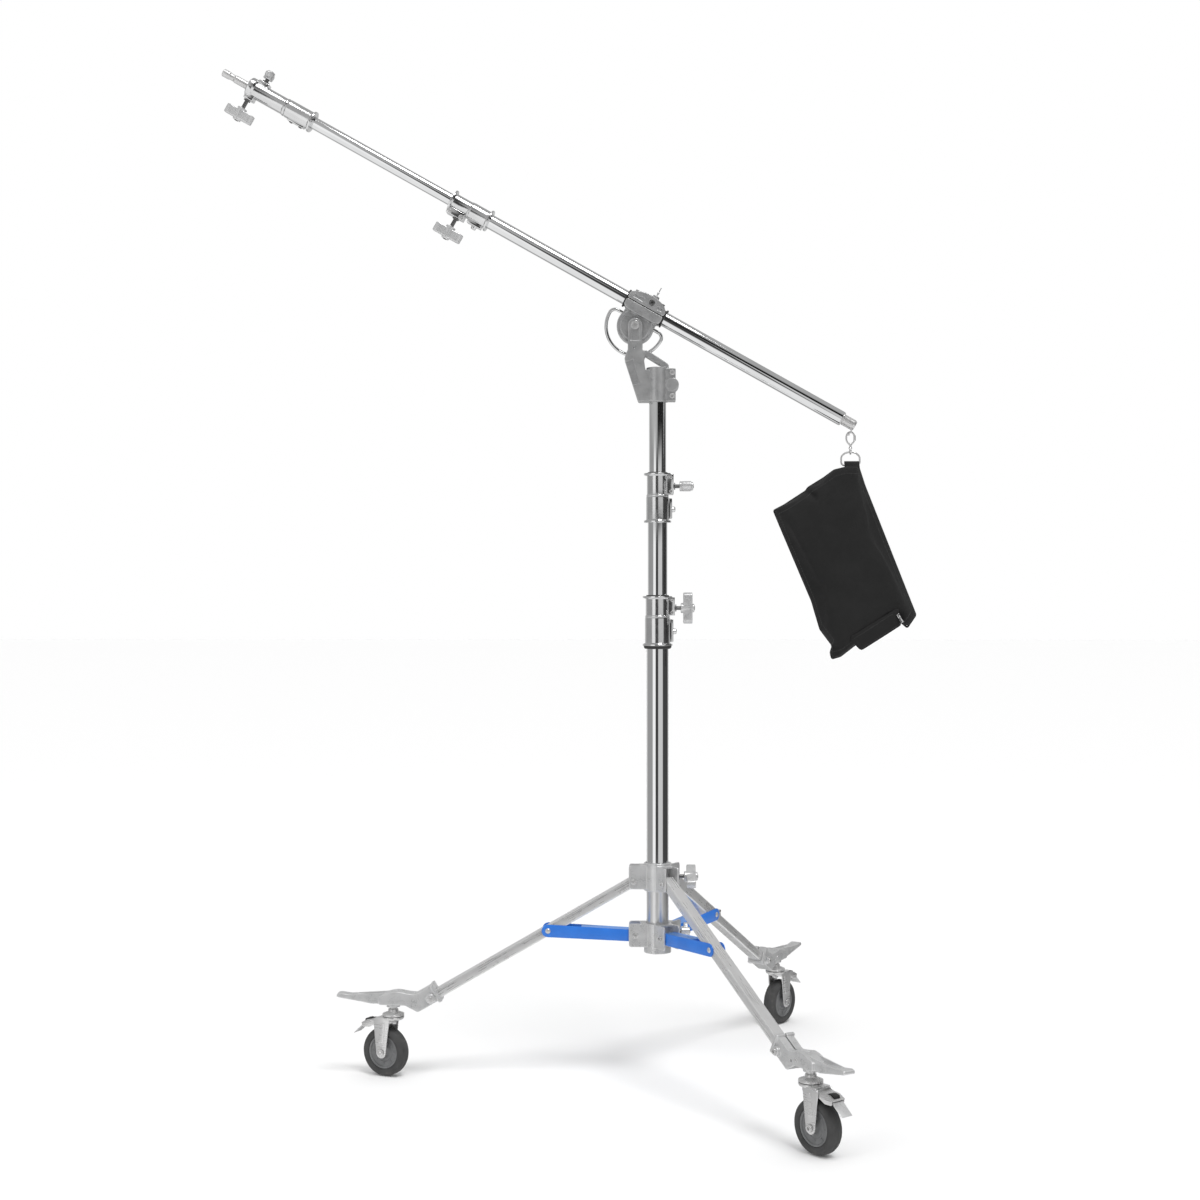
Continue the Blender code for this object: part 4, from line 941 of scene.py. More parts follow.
def pedal_pieces():
    """The brake: a steel cover with a black block in it, and a blade to press."""
    x, z = PEDAL_PIVOT
    outline = [(0.0250, 0.1080), (0.0250, 0.1150), (0.0345, 0.1162), (0.0560, 0.1140), (0.0680, 0.1075),
               (0.0665, 0.0990), (0.0500, 0.0990), (0.0380, 0.1052)]
    cheeks = side_plates(outline, 0.0145, 0.0163, 0.0005, 0.0020)
    cover = plate([(0.0340, 0.1162), (0.0560, 0.1140), (0.0690, 0.1070), (0.0680, 0.1052), (0.0555, 0.1120),
                   (0.0340, 0.1142)], -0.0160, 0.0160, 0.0005, 0.0015)
    blade = plate([(0.0660, 0.1040), (0.0895, 0.0832), (0.0885, 0.0822), (0.0648, 0.1018)],
                  -0.0130, 0.0130, 0.0004, 0.0005)
    spindle = cross_pin(x, z, -0.0190, 0.0190, 0.0020)
    block = plate([(0.0400, 0.1125), (0.0560, 0.1105), (0.0655, 0.1050), (0.0640, 0.0992), (0.0510, 0.0996),
                   (0.0400, 0.1060)], -0.0138, 0.0138, 0.0008, 0.0015)
    tab = plate([(0.0480, 0.1150), (0.0600, 0.1118), (0.0660, 0.1085), (0.0640, 0.1140), (0.0560, 0.1164)],
                -0.0075, 0.0075, 0.0006, 0.0012)
    return {
        "pedal_cover": (gathered(cover, *cheeks, spindle), "satin", "caster_pedal", "pedal"),
        "pedal_blade": (blade, "silver", None, "pedal"),
        "pedal_block": (gathered(block, tab), "black", None, "pedal"),
    }


def place_caster(leg, casters, end_body):
    at = caster_frame(leg)
    for name, (shape, finish, node, body) in casters.items():
        rides = end_body if body == "end" else f"{leg}_{body}"
        stands_for = [f"{leg}_{node}"] if node else ()
        piece(f"{leg}_caster_{name}_part", copy_of(shape), finish, rides, at, stands_for)


# ---- bracket and tilt head ----
def build_bracket():
    pivot = Vector(JOINTS["boom_tilt"]["pos_m"]) - COLUMN
    px, pz = pivot.x, pivot.z
    bore = RISER_2_RADIUS + 2 * GAP
    barrel = hoop(bore - 0.003, 0.0230, 1.3910, 1.4615, 0.0012, 72)
    outline = [(-0.0150, 1.3910), (-0.0400, 1.3910), (-0.0680, 1.4780), (-0.0660, 1.4860),
               (-0.0600, 1.5000), (-0.0340, 1.5000), (-0.0240, 1.4900), (-0.0280, 1.4780),
               (-0.0250, 1.4560), (-0.0150, 1.4560)]
    arm = plate(outline, -0.0190, 0.0190, 0.0012, 0.003)
    outline = [(-0.0320, 1.4960), (-0.0200, 1.4960), (0.0190, 1.4700), (0.0228, 1.4660),
               (0.0228, 1.4560), (0.0060, 1.4560), (0.0060, 1.4650), (-0.0260, 1.4850)]
    strut = plate(outline, -0.0140, 0.0140, 0.0012, 0.002)
    outline = arc((px, pz), 0.0150, 0, 180, 24) + [(px - 0.0150, 1.4850), (px + 0.0150, 1.4850)]
    cheeks = side_plates(outline, 0.0115, 0.0190, 0.0012)
    ears = box((0.0130, -0.0150, 1.3920), (0.0370, 0.0150, 1.4590), 0.0015)
    knuckle = cross_pin(0.0300, 1.4255, -0.0185, 0.0185, 0.0135, soft=0.0015)
    body = joined(arm, strut, barrel, ears, knuckle, *cheeks)
    opening = pin((0, 0, 1.37), (0, 0, 1.4615), bore, soft=0, sides=96)
    split = box((0.0160, -0.0014, 1.38), (0.0480, 0.0014, 1.48), 0)
    swing = cross_pin(px, pz, -0.0112, 0.0112, 0.0405, soft=0, sides=72)
    arc_slot = cross_pin(px, pz, -0.0046, 0.0046, ARC_RADIUS + 0.0048, soft=0, sides=96)
    panels = []
    recess = arc((px, pz), 0.0098, 0, 180, 20) + [(px - 0.0098, 1.5150), (px + 0.0098, 1.5150)]
    about = Matrix.Translation((-0.0515, 0, 1.4510))
    for low_y, high_y in ((0.0168, 0.03), (-0.03, -0.0168)):
        window = box((-0.0605, low_y, 1.4250), (-0.0420, high_y, 1.4760), 0)
        panels.append(moved(window, about @ Matrix.Rotation(radians(-16), 4, "Y") @ about.inverted()))
        panels.append(cross_pin(px - 0.0016, 1.5010, low_y, high_y, 0.0026, soft=0))
    panels += side_plates(recess, 0.0178, 0.03, 0.0003)
    casting = cast(cut(body, opening, split, swing, arc_slot, *panels), 0.0007, 4, 0.4)
    piece("bracket_casting", casting, "casting", "bracket", STAND, ["bracket"])
    bolts = []
    for height in (1.4020, 1.4500):
        bolts.append(cross_pin(0.0300, height, -0.0175, 0.0175, 0.0030))
        bolts.append(on_side(bolt_head(0.0054, 0.0042), 0.0300, -0.0150, height))
        bolts.append(on_side(hex_nut(0.0058, 0.0040), 0.0300, 0.0150, height))
    piece("bracket_bolts", gathered(*bolts), "satin", "bracket")
    shank = cross_pin(px, pz, -0.0200, 0.0200, 0.0048)
    head = on_side(bolt_head(0.0085, 0.0052), px, -0.0178, pz)
    nut = on_side(hex_nut(0.0090, 0.0068), px, 0.0193, pz)
    piece("tilt_bolt_steel", gathered(shank, head, nut), "satin", "bracket", STAND, ["tilt_bolt"])


def build_tilt_head():
    axis, half = BOOM_OFFSET, 0.042
    bore = BOOM_RADIUS + 0.0022
    disc = cross_pin(0, 0, -0.0107, 0.0107, 0.0380, soft=0.0015, sides=96)
    neck = box((-0.0330, -0.0107, 0.0050), (0.0330, 0.0107, 0.0300), 0.0010)
    outline = [(-half, axis - 0.0008), (-half, 0.0270), (-0.0300, 0.0215), (0.0300, 0.0215),
               (half, 0.0270), (half, axis - 0.0008)]
    base = plate(outline, -0.0215, 0.0215, 0.0012, 0.003)
    lugs = [box((x - 0.006, -0.0070, 0.0060), (x + 0.006, 0.0070, 0.0240), 0.001) for x in (-0.0300, 0.0300)]
    grooves = [hoop(0.0300, 0.0340, depth + 0.002, depth, 0.0003, 72) for depth in (0.0096, -0.0116)]
    grooves = [moved(ring, Matrix.Rotation(-pi / 2, 4, "X")) for ring in grooves]
    cuts = [pin((-0.06, 0, axis), (0.06, 0, axis), bore, soft=0, sides=96)]
    cuts += [pin((s * 0.0280, 0, 0.0120), (s * 0.0500, 0, 0.0120), 0.0040, soft=0) for s in (-1, 1)]
    cuts += [cross_pin(0, 0, -0.03, 0.03, 0.0054, soft=0)] + grooves
    pockets = [box((x - 0.006, s * 0.0190 - 0.0005, 0.0270), (x + 0.006, s * 0.0250 + 0.0005, 0.0330), 0.0008)
               for x in (-0.0220, 0.0220) for s in (-1, 1)]
    casting = cast(cut(joined(base, disc, neck, *lugs), *cuts, *pockets), 0.0007, 4, 0.4)
    piece("boom_clamp_base_casting", casting, "casting", "tilt_head", BOOM, ["boom_clamp_base"])

    outline = [(-half, axis + 0.0008), (half, axis + 0.0008), (half, 0.0540), (0.0300, 0.0640),
               (0.0120, 0.0690), (-0.0120, 0.0690), (-0.0300, 0.0640), (-half, 0.0560)]
    cap = plate(outline, -0.0215, 0.0215, 0.0012, 0.004)
    bump = pin((0.0080, 0, 0.0640), (0.0080, 0, 0.0755), 0.0080, 0.0072, soft=0.0015)
    cuts = [pin((-0.06, 0, axis), (0.06, 0, axis), bore, soft=0, sides=96)]
    for side in (-1, 1):
        low_y, high_y = sorted((side * 0.0195, side * 0.03))
        cuts.append(cross_pin(0.0080, 0.0565, low_y, high_y, 0.0060, soft=0))
        cuts.append(box((-0.0330, low_y, 0.0490), (-0.0090, high_y, 0.0570), 0.0008))
        cuts.append(box((0.0225, low_y, 0.0490), (0.0350, high_y, 0.0560), 0.0008))
    casting = cast(cut(joined(cap, bump), *cuts), 0.0007, 4, 0.4)
    piece("boom_clamp_cap_casting", casting, "casting", "tilt_head", BOOM, ["boom_clamp_cap"])
    screws = [on_side(bolt_head(0.0046, 0.0030), 0.0080, y, 0.0565) for y in (-0.0197, 0.0197)]
    for x in (-0.0300, 0.0300):
        for y in (-0.0160, 0.0160):
            screws.append(towards(bolt_head(0.0036, 0.0030), (x, y, 0.0624), (0, 0, 1)))
    piece("boom_clamp_screws", gathered(*screws), "dark_steel", "tilt_head", BOOM)
    spike = turned([(0, 0.0965), (0.0008, 0.0955), (0.0011, 0.0850), (0.0022, 0.0835), (0.0022, 0.0805),
                    (0.0013, 0.0790), (0.0013, 0.0740), (0, 0.0740)], 0.0003, sides=32)
    piece("boom_clamp_spike", shifted(spike, 0.0080), "plated", "tilt_head", BOOM)

    inner, outer, rim = BOOM_RADIUS + 0.0004, bore - 0.0004, 0.0195
    flange = [(inner, half + 0.003), (rim, half + 0.003), (rim, half + GAP), (outer, half + GAP)]
    liner = turned(mirrored(flange), 0.0004, True, 96)
    piece("boom_clamp_liner_sleeve", liner, "black", "tilt_head", ROD, ["boom_clamp_liner"])

    hook = 0.012
    bend = arc((ARC_RADIUS - hook, 0), hook, 90, 0, 8)[:-1]
    sweep = arc((0, 0), ARC_RADIUS, 0, -180, 64)
    path = [(0.0350, hook)] + bend + sweep + [(-x, z) for x, z in reversed(bend)] + [(-0.0350, hook)]
    rod = wire([(x, 0, z) for x, z in path], 0.0035, resolution=6)
    piece("tilt_arc_rod", rod, "plated", "tilt_head", BOOM, ["tilt_arc"])


# ---- boom ----
def build_boom(knob, small_knob):
    outer_tube = tube(BOOM_RADIUS, BOOM_WALL, -0.4620, 0.4120)
    piece("boom_tube_plated", outer_tube, "chrome", "boom", ROD, ["boom_tube"])
    inner_tube = tube(BOOM_INNER_RADIUS, WALL, -0.0200, 0.8480)
    piece("boom_extension_plated", inner_tube, "chrome", "boom_extension", ROD, ["boom_extension"])
    bush = tube(BOOM_RADIUS - 0.0013, 0.0011, -0.0180, 0.0060, 64)
    piece("boom_extension_bush", bush, "black", "boom_extension", ROD)

    plug_in = BOOM_RADIUS - BOOM_WALL - GAP
    plug = turned([(0, -0.4420), (plug_in, -0.4420), (plug_in, -0.4623), (0.0146, -0.4623), (0.0146, -0.4645),
                   (0.0112, -0.4655), (0.0112, -0.4895), (0.0088, -0.4940), (0, -0.4940)], 0.0006, sides=72)
    corners = [(0.0080, -0.0080), (0.0230, -0.0080), (0.0230, 0.0080), (0.0080, 0.0080)]
    tab = plate(rounded(corners, 0.0055, True, 6), -0.4929, -0.4906, 0.0004)
    eye = pin((0.0155, -0.50, 0), (0.0155, -0.48, 0), 0.0046, soft=0)
    y_to_z = Matrix(((1, 0, 0, 0), (0, 0, 1, 0), (0, 1, 0, 0), (0, 0, 0, 1)))
    tab = moved(cut(tab, eye), y_to_z)
    piece("boom_end_plug_steel", gathered(plug, tab), "satin", "boom", ROD, ["boom_end_plug"])

    bores = (BOOM_RADIUS + GAP, BOOM_INNER_RADIUS + 2 * GAP)
    at = ROD @ Matrix.Translation((0, 0, COLLAR_AT))
    place_collar("boom_collar", knob, "boom", at, 0.0890, 0.0450, bores, 90)

    at = ROD @ Matrix.Translation((0, 0, HEAD_AT))
    bore, stud = BOOM_INNER_RADIUS + GAP, 0.0083
    profile = [(stud, 0.1530), (0.0190, 0.1530), (0.0215, 0.1510), (0.0215, 0.1410),
               (0.0175, 0.1375), (0.0175, 0.0670), (0.0188, 0.0655), (0.0188, 0.0630),
               (0.0178, 0.0615), (0.0190, 0.0590), (0.0190, 0.0060), (0.0225, 0.0040),
               (0.0225, 0), (bore, 0), (bore, 0.0610), (stud, 0.0610)]
    head = turned(profile, 0.0008, True, 96)
    jaw = box((0.0150, -0.0110, 0.1300), (0.0250, 0.0110, 0.1510), 0.0016, 3)
    pad = box((-0.0230, -0.0100, 0.1150), (-0.0150, 0.0100, 0.1390), 0.0016, 3)
    key = box((0.0165, -0.0060, 0.0100), (0.0215, 0.0060, 0.0500), 0.0014, 3)
    piece("boom_head_casting", gathered(head, jaw, pad, key), "plated", "boom_extension", at, ["boom_head"])
    screws = [towards(bolt_head(0.0036, 0.0022), (0.0212, 0, z), (1, 0, 0)) for z in (0.0190, 0.0410)]
    piece("boom_head_screws", gathered(*screws), "dark_steel", "boom_extension", at)
    place_knob("head_knob", knob, "head_knob", at, (0.0253, 0, 0.1430), (1, 0, 0), 90)
    place_knob("head_lock_knob", small_knob, "head_lock_knob", at, (-0.0233, 0, 0.1270), (-1, 0, 0), 0)
    pin_shape = turned([(0, 0.1050), (0.0070, 0.1050), (0.0080, 0.1040), (0.0080, 0.0900), (0.0068, 0.0870),
                        (0.0068, 0.0780), (0.0080, 0.0750), (0.0080, 0), (0, 0)], 0.0004, sides=72)
    piece("spigot_pin", pin_shape, "satin", "spigot", ROD @ Matrix.Translation((0, 0, SPIGOT_AT)), ["spigot"])


# ---- counterweight ----
HOOK_X = Vector(JOINTS["hook_swing"]["pos_m"]).x - COLUMN.x
BAG_OUTLINE = [(0.4120, 1.2550), (0.4239, 1.2181), (0.5280, 0.9533), (0.5109, 0.9278), (0.4885, 0.9475),
               (0.4040, 0.8920), (0.3745, 0.8690), (0.3574, 0.8640), (0.3545, 0.8766), (0.3590, 0.8903),
               (0.3335, 0.9243), (0.3164, 0.9824), (0.2515, 1.1361), (0.2385, 1.1675), (0.2600, 1.1787),
               (0.3045, 1.2078), (0.3080, 1.2140), (0.3403, 1.2340), (0.3620, 1.2500), (0.3850, 1.2555)]
FLAP_OUTLINE = [(0.4885, 0.9690), (0.4910, 0.9440), (0.4957, 0.9335), (0.4138, 0.8805), (0.4035, 0.8905),
                (0.3900, 0.9080)]
CLOTH_FRAMES, CLOTH_REACH, RIM_HALF = 20, 0.009, 0.0042


def build_hook():
    wire_radius = 0.0018
    turn = arc((0, 0), 1, 0, 352.5, 47)
    loop = wire([(HOOK_X + 0.0085 * x, 0, 1.3160 + 0.0125 * z) for x, z in turn], wire_radius, True)
    gate = pin((HOOK_X + 0.0085, 0, 1.3105), (HOOK_X + 0.0085, 0, 1.3215), 0.0025, soft=0.0006)
    swivel = turned([(0, 1.3050), (0.0030, 1.3045), (0.0036, 1.3025), (0.0026, 1.3005), (0.0026, 1.2975),
                     (0.0038, 1.2960), (0.0034, 1.2935), (0, 1.2930)], 0.0005, sides=48)
    turn = arc((0, 0), 1, 0, 345, 23)
    eye = wire([(HOOK_X, 0.0060 * y, 1.2895 + 0.0060 * z) for y, z in turn], wire_radius, True)
    hook = gathered(loop, gate, shifted(swivel, HOOK_X), eye)
    piece("snap_hook_steel", hook, "satin", "hook", STAND, ["snap_hook"])
    half_round = [(0.0190 * x, 0.0135 * z) for x, z in arc((0, 0), 1, 0, 180, 32)]
    corners = [(-0.0190, -0.0095), (-0.0150, -0.0135), (0.0150, -0.0135), (0.0190, -0.0095)]
    ring = rounded([Vector(point) for point in corners + half_round], 0.0015, True, 3)
    d_ring = wire([(HOOK_X + x, 0, 1.2738 + z) for x, z in ring], wire_radius, True)
    piece("d_ring_steel", d_ring, "satin", "bag", STAND, ["d_ring"])


def pillow(outline, half, rim, step=0.006):
    """A closed cushion over an outline of (x, z) points.

    It reaches out to Y = 'half' in its middle and to 'rim' at its edge.
    """
    line = [Vector(point) for point in outline]

    def edge_distance(point):
        return min((point - nearest(point, a, b)).length for a, b in zip(line, line[1:] + line[:1]))

    def nearest(point, a, b):
        share = max(0.0, min(1.0, (point - a).dot(b - a) / (b - a).length_squared))
        return a + (b - a) * share

    slab = plate(outline, -half, half, 0.001, 0.006)
    remesh = slab.modifiers.new("remesh", "REMESH")
    remesh.mode, remesh.voxel_size = "VOXEL", step
    slab = applied(slab)
    for vertex in slab.data.vertices:
        away = edge_distance(Vector((vertex.co.x, vertex.co.z)))
        crown = min(1.0, away / 0.050)
        vertex.co.y *= (rim + (half - rim) * (crown * (2 - crown)) ** 0.5) / half
    return slab


def blown(obj, pressure):
    """The cloth filled from inside: its sewn rim stays, its points move by at most CLOTH_REACH."""
    rest = [vertex.co.copy() for vertex in obj.data.vertices]
    cloth = obj.modifiers.new("cloth", "CLOTH")
    settings = cloth.settings
    settings.use_pressure, settings.uniform_pressure_force = True, pressure
    settings.effector_weights.gravity = 0
    settings.tension_stiffness = settings.compression_stiffness = 12
    settings.bending_stiffness = 0.4
    settings.shrink_min = -0.10
    cloth.point_cache.frame_start, cloth.point_cache.frame_end = 1, CLOTH_FRAMES
    for step in range(1, CLOTH_FRAMES + 1):
        bpy.context.scene.frame_set(step)
    mesh = mesh_now(obj)
    for vertex, start in zip(mesh.vertices, rest):
        step = vertex.co - start
        free = max(0.0, min(1.0, (abs(start.y) - RIM_HALF) / 0.010))
        vertex.co = start + step * min(1.0, CLOTH_REACH / max(step.length, 1e-9)) * free
    obj.modifiers.clear()
    obj.data = mesh
    bpy.context.scene.frame_set(1)
    return obj


def sagged(obj):
    """Folds and creases: a slack diagonal fold down the right side, and small crumples near the rim."""
    for vertex in obj.data.vertices:
        x, z = vertex.co.x, vertex.co.z
        across = (x + 0.02) * 0.93 + (z - 1.25) * 0.37
        fold = 0.0035 * sin(max(-1.6, min(1.6, (across - 0.010) * 70)))
        crumple = noise.noise(Vector((x * 30, vertex.co.y * 6, z * 22))) * 0.0030
        fine = noise.noise(Vector((x * 85, vertex.co.y * 20, z * 60))) * 0.0009
        vertex.co.y += (fold + crumple + fine) * (1 if vertex.co.y > 0 else -1) * 0.9
    return obj


def ribbon(points, width, thick, face=(0, 1, 0)):
    """A flat strap that follows points, as wide as 'width' along the face's direction."""
    across = Vector(face).normalized()
    rings = []
    line = [Vector(point) for point in points]
    for i, point in enumerate(line):
        ahead = (line[min(i + 1, len(line) - 1)] - line[max(i - 1, 0)]).normalized()
        out = ahead.cross(across).normalized()
        half, lift = across * width / 2, out * thick / 2
        edge = across * min(0.0006, width / 4)
        rings.append([point + half - edge + lift, point + half, point + half - edge - lift,
                      point - half + edge - lift, point - half, point - half + edge + lift])
    return lofted(rings, False)


def along(outline, first, last, spacing):
    """Evenly spaced points along the outline's sides from one corner to another."""
    made = []
    for i in range(first, last):
        start, end = Vector(outline[i % len(outline)]), Vector(outline[(i + 1) % len(outline)])
        count = max(1, round((end - start).length / spacing))
        made += [start.lerp(end, step / count) for step in range(count)]
    made.append(Vector(outline[last % len(outline)]))
    return made


def on_bag(bag, points, front, lift):
    """Points of (x, z) dropped onto the bag's front or back, and lifted off it a little."""
    placed = []
    for x, z in points:
        start = Vector((x, -0.2 * front, z))
        hit, place, _, _ = bag.ray_cast(start, Vector((0, front, 0)))
        if hit:
            placed.append(place - Vector((0, front * lift, 0)))
    return placed


def stitches(line, length=0.0028, gap=0.0014, radius=0.00035):
    made, walked, start = [], 0.0, line[0]
    for point in line[1:]:
        walked += (point - start).length
        if walked >= length + gap:
            direction = (point - start).normalized()
            made.append(pin(point - direction * length, point, radius, soft=0.0001, sides=6))
            walked = 0.0
        start = point
    return gathered(*made)


def build_bag():
    bag = pillow(BAG_OUTLINE, 0.0225, RIM_HALF)
    bag = blown(bag, 4.0)
    bag = sagged(bag)
    finer = bag.modifiers.new("finer", "SUBSURF")
    finer.levels = finer.render_levels = 1
    bag = applied(bag)
    piece("sandbag_body", bag, "nylon", "bag", STAND, ["sandbag"], crease=80)

    centre = sum((Vector(point) for point in BAG_OUTLINE), Vector((0, 0))) / len(BAG_OUTLINE)
    rim = rounded([Vector(point) for point in BAG_OUTLINE], 0.003, True, 3)
    piece("sandbag_piping", wire([(p.x, 0, p.y) for p in rim], 0.0021, True, 3), "webbing", "bag")
    inset = [Vector(point).lerp(centre, 0.070) for point in BAG_OUTLINE]
    for side, front in (("front", 1), ("back", -1)):
        path = [(p.x, p.y) for p in along(inset, 0, len(inset), 0.0014)]
        piece(f"sandbag_{side}_stitches", stitches(on_bag(bag, path, front, 0.0001)), "thread", "bag")
    build_flap(bag)
    build_straps()


def build_flap(bag):
    """The folded closure over the zip, low on the front, with the slider's pull at its right end."""
    surface = on_bag(bag, [(0.4500, 0.9400)], 1, 0.0)[0].y
    flap = pillow(FLAP_OUTLINE, 0.0042, 0.0016, 0.0025)
    for vertex in flap.data.vertices:
        drop = max(0.0, 0.9300 - vertex.co.z) + max(0.0, vertex.co.x - 0.4700)
        ripple = noise.noise(vertex.co * 40) * 0.0016
        vertex.co.y += surface - 0.0030 + 0.12 * drop + ripple
    piece("sandbag_flap", flap, "nylon", "bag", crease=80)
    low_edge = [Vector(point) for point in FLAP_OUTLINE[2:4]]
    up = Vector((-0.5440, 0.8390))
    for name, rise in (("hem", 0.0035), ("top", 0.0290)):
        path = [low_edge[0].lerp(low_edge[1], 0.02 + 0.96 * i / 60) + up * rise for i in range(61)]
        line = on_bag(flap, [(p.x, p.y) for p in path], 1, 0.0001)
        piece(f"sandbag_flap_{name}_stitches", stitches(line), "thread", "bag")
    pull_at = Vector((0.4890, surface - 0.0040, 0.9515))
    slider = box((-0.0032, -0.0030, -0.0045), (0.0032, 0.0, 0.0045), 0.0012, 3)
    corners = [(-0.0030, -0.0150), (0.0030, -0.0150), (0.0022, -0.0030), (-0.0022, -0.0030)]
    tag = plate(rounded(corners, 0.0015, True, 4), -0.0046, -0.0032, 0.0004)
    turn = Matrix.Translation(pull_at) @ Matrix.Rotation(radians(-30), 4, "Y")
    piece("sandbag_zip_pull", moved(gathered(slider, tag), turn), "plated", "bag")


def build_straps():
    """The webbing loop that holds the D-ring, sewn to the bag's top corner."""
    low, high = 1.2120, 1.2670
    front = [(-0.0125, low), (-0.0115, low + 0.018), (-0.0072, 1.2500), (-0.0042, 1.2600), (-0.0040, 1.2640),
             (-0.0026, high)]
    over = front + [(0.0, high + 0.0012)] + [(-y, z) for y, z in reversed(front)]
    line = rounded([Vector(point) for point in over], 0.003, False, 4)
    middle = 0.3975
    strap = ribbon([(middle + 0.10 * (high - z), y, z) for y, z in line], 0.0300, 0.0016, (1, 0, 0))
    piece("sandbag_strap", strap, "webbing", "bag")


# ---- camera, floor and light ----
CAMERA_DISTANCE, CAMERA_HEIGHT = 3.617, 0.984
FOCAL_SHARE = 1.46417  # focal length over the picture's width
CAMERA_TURN = radians(1.8777)
FLOOR_SIZE = 80.0
SUN_FROM, SUN_LEVEL, SUN_SPREAD = (0.30, -0.42, 1.0), 1.30, radians(22)
SOFT_BOX_AT, SOFT_BOX_AIM, SOFT_BOX_LEVEL = (-2.6, -2.8, 2.9), (0, 0, 1.1), 22.0
DIFFUSE_LEVEL = 0.71  # the surround's brightness for matt surfaces


def build_camera():
    data = bpy.data.cameras.new("camera")
    data.sensor_width, data.lens = 36.0, 36.0 * FOCAL_SHARE
    data.clip_start, data.clip_end = 0.05, 60
    camera = linked("camera", data)
    camera.location = (COLUMN.x, COLUMN.y - CAMERA_DISTANCE, CAMERA_HEIGHT)
    camera.rotation_euler = (pi / 2, 0, CAMERA_TURN)
    bpy.context.scene.camera = camera


def build_floor():
    shape = bmesh.new()
    bmesh.ops.create_grid(shape, x_segments=1, y_segments=1, size=FLOOR_SIZE / 2)
    floor = solid(shape)
    floor.name = "floor"
    floor.data.materials.append(Finish("floor", grey(0.96), 0.9).material)
    floor.visible_glossy = False


# What the metal sees, as brightness: by bearing at eye level (0 is straight behind the camera,
# positive to the right), by bearing higher up, and then overhead and below, in front and behind.
EYE_LEVEL = ((-180, 0.60), (-132, 0.60), (-124, 0.33), (-56, 0.34), (-49, 1.0), (-24, 1.0), (-19, 0.05),
             (4, 0.05), (9, 0.64), (52, 0.64), (60, 0.055), (130, 0.06), (140, 0.62), (180, 0.60))
HIGHER = ((-180, 0.42), (-30, 0.50), (-4, 0.40), (3, 0.012), (78, 0.016), (95, 0.35), (180, 0.42))
OVERHEAD, BELOW, BELOW_BEHIND = 0.42, 0.90, 0.36


def blend_by(nodes, links, height, low, high, first, second):
    """A mix of two brightnesses, from the first at height 'low' to the second at 'high'."""
    share = nodes.new("ShaderNodeMapRange")
    share.interpolation_type = "SMOOTHSTEP"
    links.new(height, share.inputs["Value"])
    share.inputs["From Min"].default_value, share.inputs["From Max"].default_value = low, high
    mixed = nodes.new("ShaderNodeMix")
    mixed.data_type = "FLOAT"
    links.new(share.outputs["Result"], mixed.inputs["Factor"])
    feed(links, first, mixed.inputs["A"])
    feed(links, second, mixed.inputs["B"])
    return mixed.outputs["Result"]


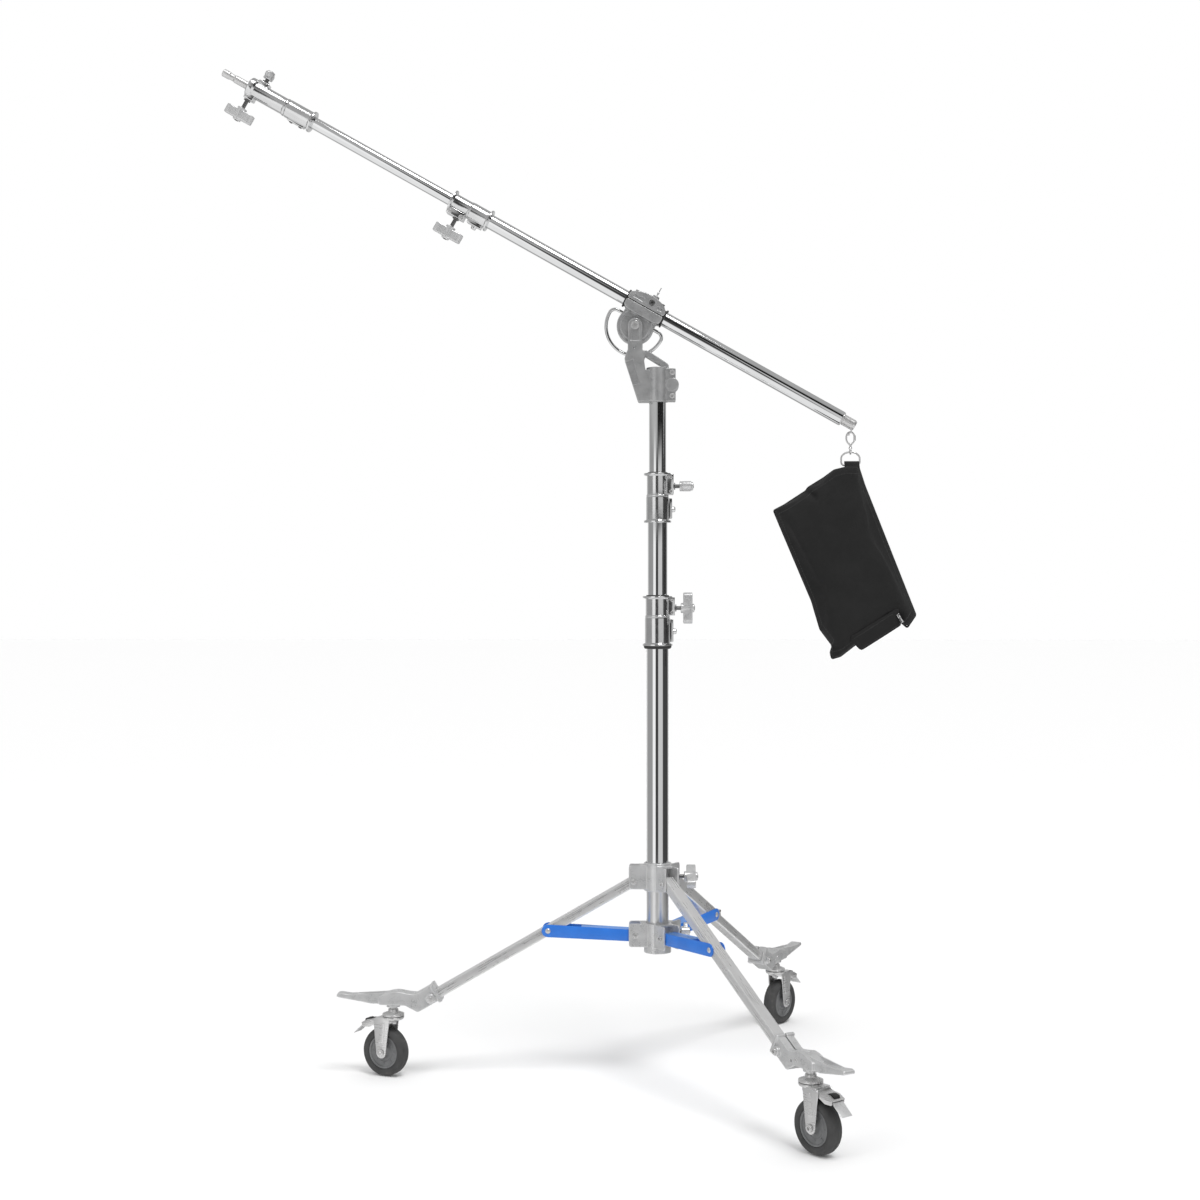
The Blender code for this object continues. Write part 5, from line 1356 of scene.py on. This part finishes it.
def build_surround():
    """White to the camera, even to the matt surfaces, and a banded studio to the chrome."""
    world = bpy.data.worlds.new("surround")
    world.use_nodes = True
    nodes, links = world.node_tree.nodes, world.node_tree.links
    way = nodes.new("ShaderNodeSeparateXYZ")
    links.new(nodes.new("ShaderNodeTexCoord").outputs["Generated"], way.inputs["Vector"])

    towards_camera = maths_node(nodes, links, "MULTIPLY", way.outputs["Y"], -1.0)
    bearing = maths_node(nodes, links, "ARCTAN2", way.outputs["X"], towards_camera)
    share = maths_node(nodes, links, "ADD", maths_node(nodes, links, "DIVIDE", bearing, 2 * pi), 0.5)
    bands = []
    for stops in (EYE_LEVEL, HIGHER):
        ramp = nodes.new("ShaderNodeValToRGB")
        elements = ramp.color_ramp.elements
        while len(elements) < len(stops):
            elements.new(0.5)
        for element, (angle, level) in zip(elements, stops):
            element.position, element.color = (angle + 180) / 360, (level, level, level, 1)
        links.new(share, ramp.inputs["Fac"])
        bands.append(ramp.outputs["Color"])
    height = way.outputs["Z"]
    seen = blend_by(nodes, links, height, 0.17, 0.23, *bands)
    seen = blend_by(nodes, links, height, 0.50, 0.68, seen, OVERHEAD)
    below = blend_by(nodes, links, way.outputs["Y"], 0.25, 0.70, BELOW, BELOW_BEHIND)
    seen = blend_by(nodes, links, height, -0.20, -0.45, seen, below)
    path = nodes.new("ShaderNodeLightPath")
    matt = blend_by(nodes, links, path.outputs["Is Camera Ray"], 0.0, 1.0, DIFFUSE_LEVEL, 1.0)
    level = blend_by(nodes, links, path.outputs["Is Glossy Ray"], 0.0, 1.0, matt, seen)
    sky = nodes["Background"]
    links.new(level, sky.inputs["Color"])
    bpy.context.scene.world = world


def build_stage():
    """A pale floor, the surround, and a broad soft sun with one soft box for the highlights."""
    build_floor()
    build_surround()
    sun = bpy.data.lights.new("sun", "SUN")
    sun.energy, sun.angle = SUN_LEVEL, SUN_SPREAD
    made = linked("sun", sun)
    made.rotation_euler = facing(SUN_FROM).to_euler()
    soft_box = bpy.data.lights.new("soft_box", "AREA")
    soft_box.shape, soft_box.size, soft_box.size_y = "RECTANGLE", 1.2, 2.0
    soft_box.energy = SOFT_BOX_LEVEL
    made = linked("soft_box", soft_box)
    made.location = SOFT_BOX_AT
    made.visible_glossy = False
    made.rotation_euler = facing(Vector(SOFT_BOX_AT) - Vector(SOFT_BOX_AIM)).to_euler()
    bpy.context.scene.view_settings.view_transform = "Standard"


KNOB = t_knob(0.0120, 0.0640, 0.0180, 0.0280)
BOOM_KNOB = t_knob(0.0200, 0.0640, 0.0180, 0.0280)
SMALL_KNOB = t_knob(0.0080, 0.0380, 0.0140, 0.0180)
CASTERS = caster_pieces()

build_camera()
build_stage()
build_column(KNOB)
build_collars(KNOB, SMALL_KNOB)
build_legs(CASTERS)
build_bracket()
build_tilt_head()
build_boom(BOOM_KNOB, SMALL_KNOB)
build_hook()
build_bag()
for shape in (*KNOB, *BOOM_KNOB, *SMALL_KNOB, *(entry[0] for entry in CASTERS.values())):
    bpy.data.objects.remove(shape)
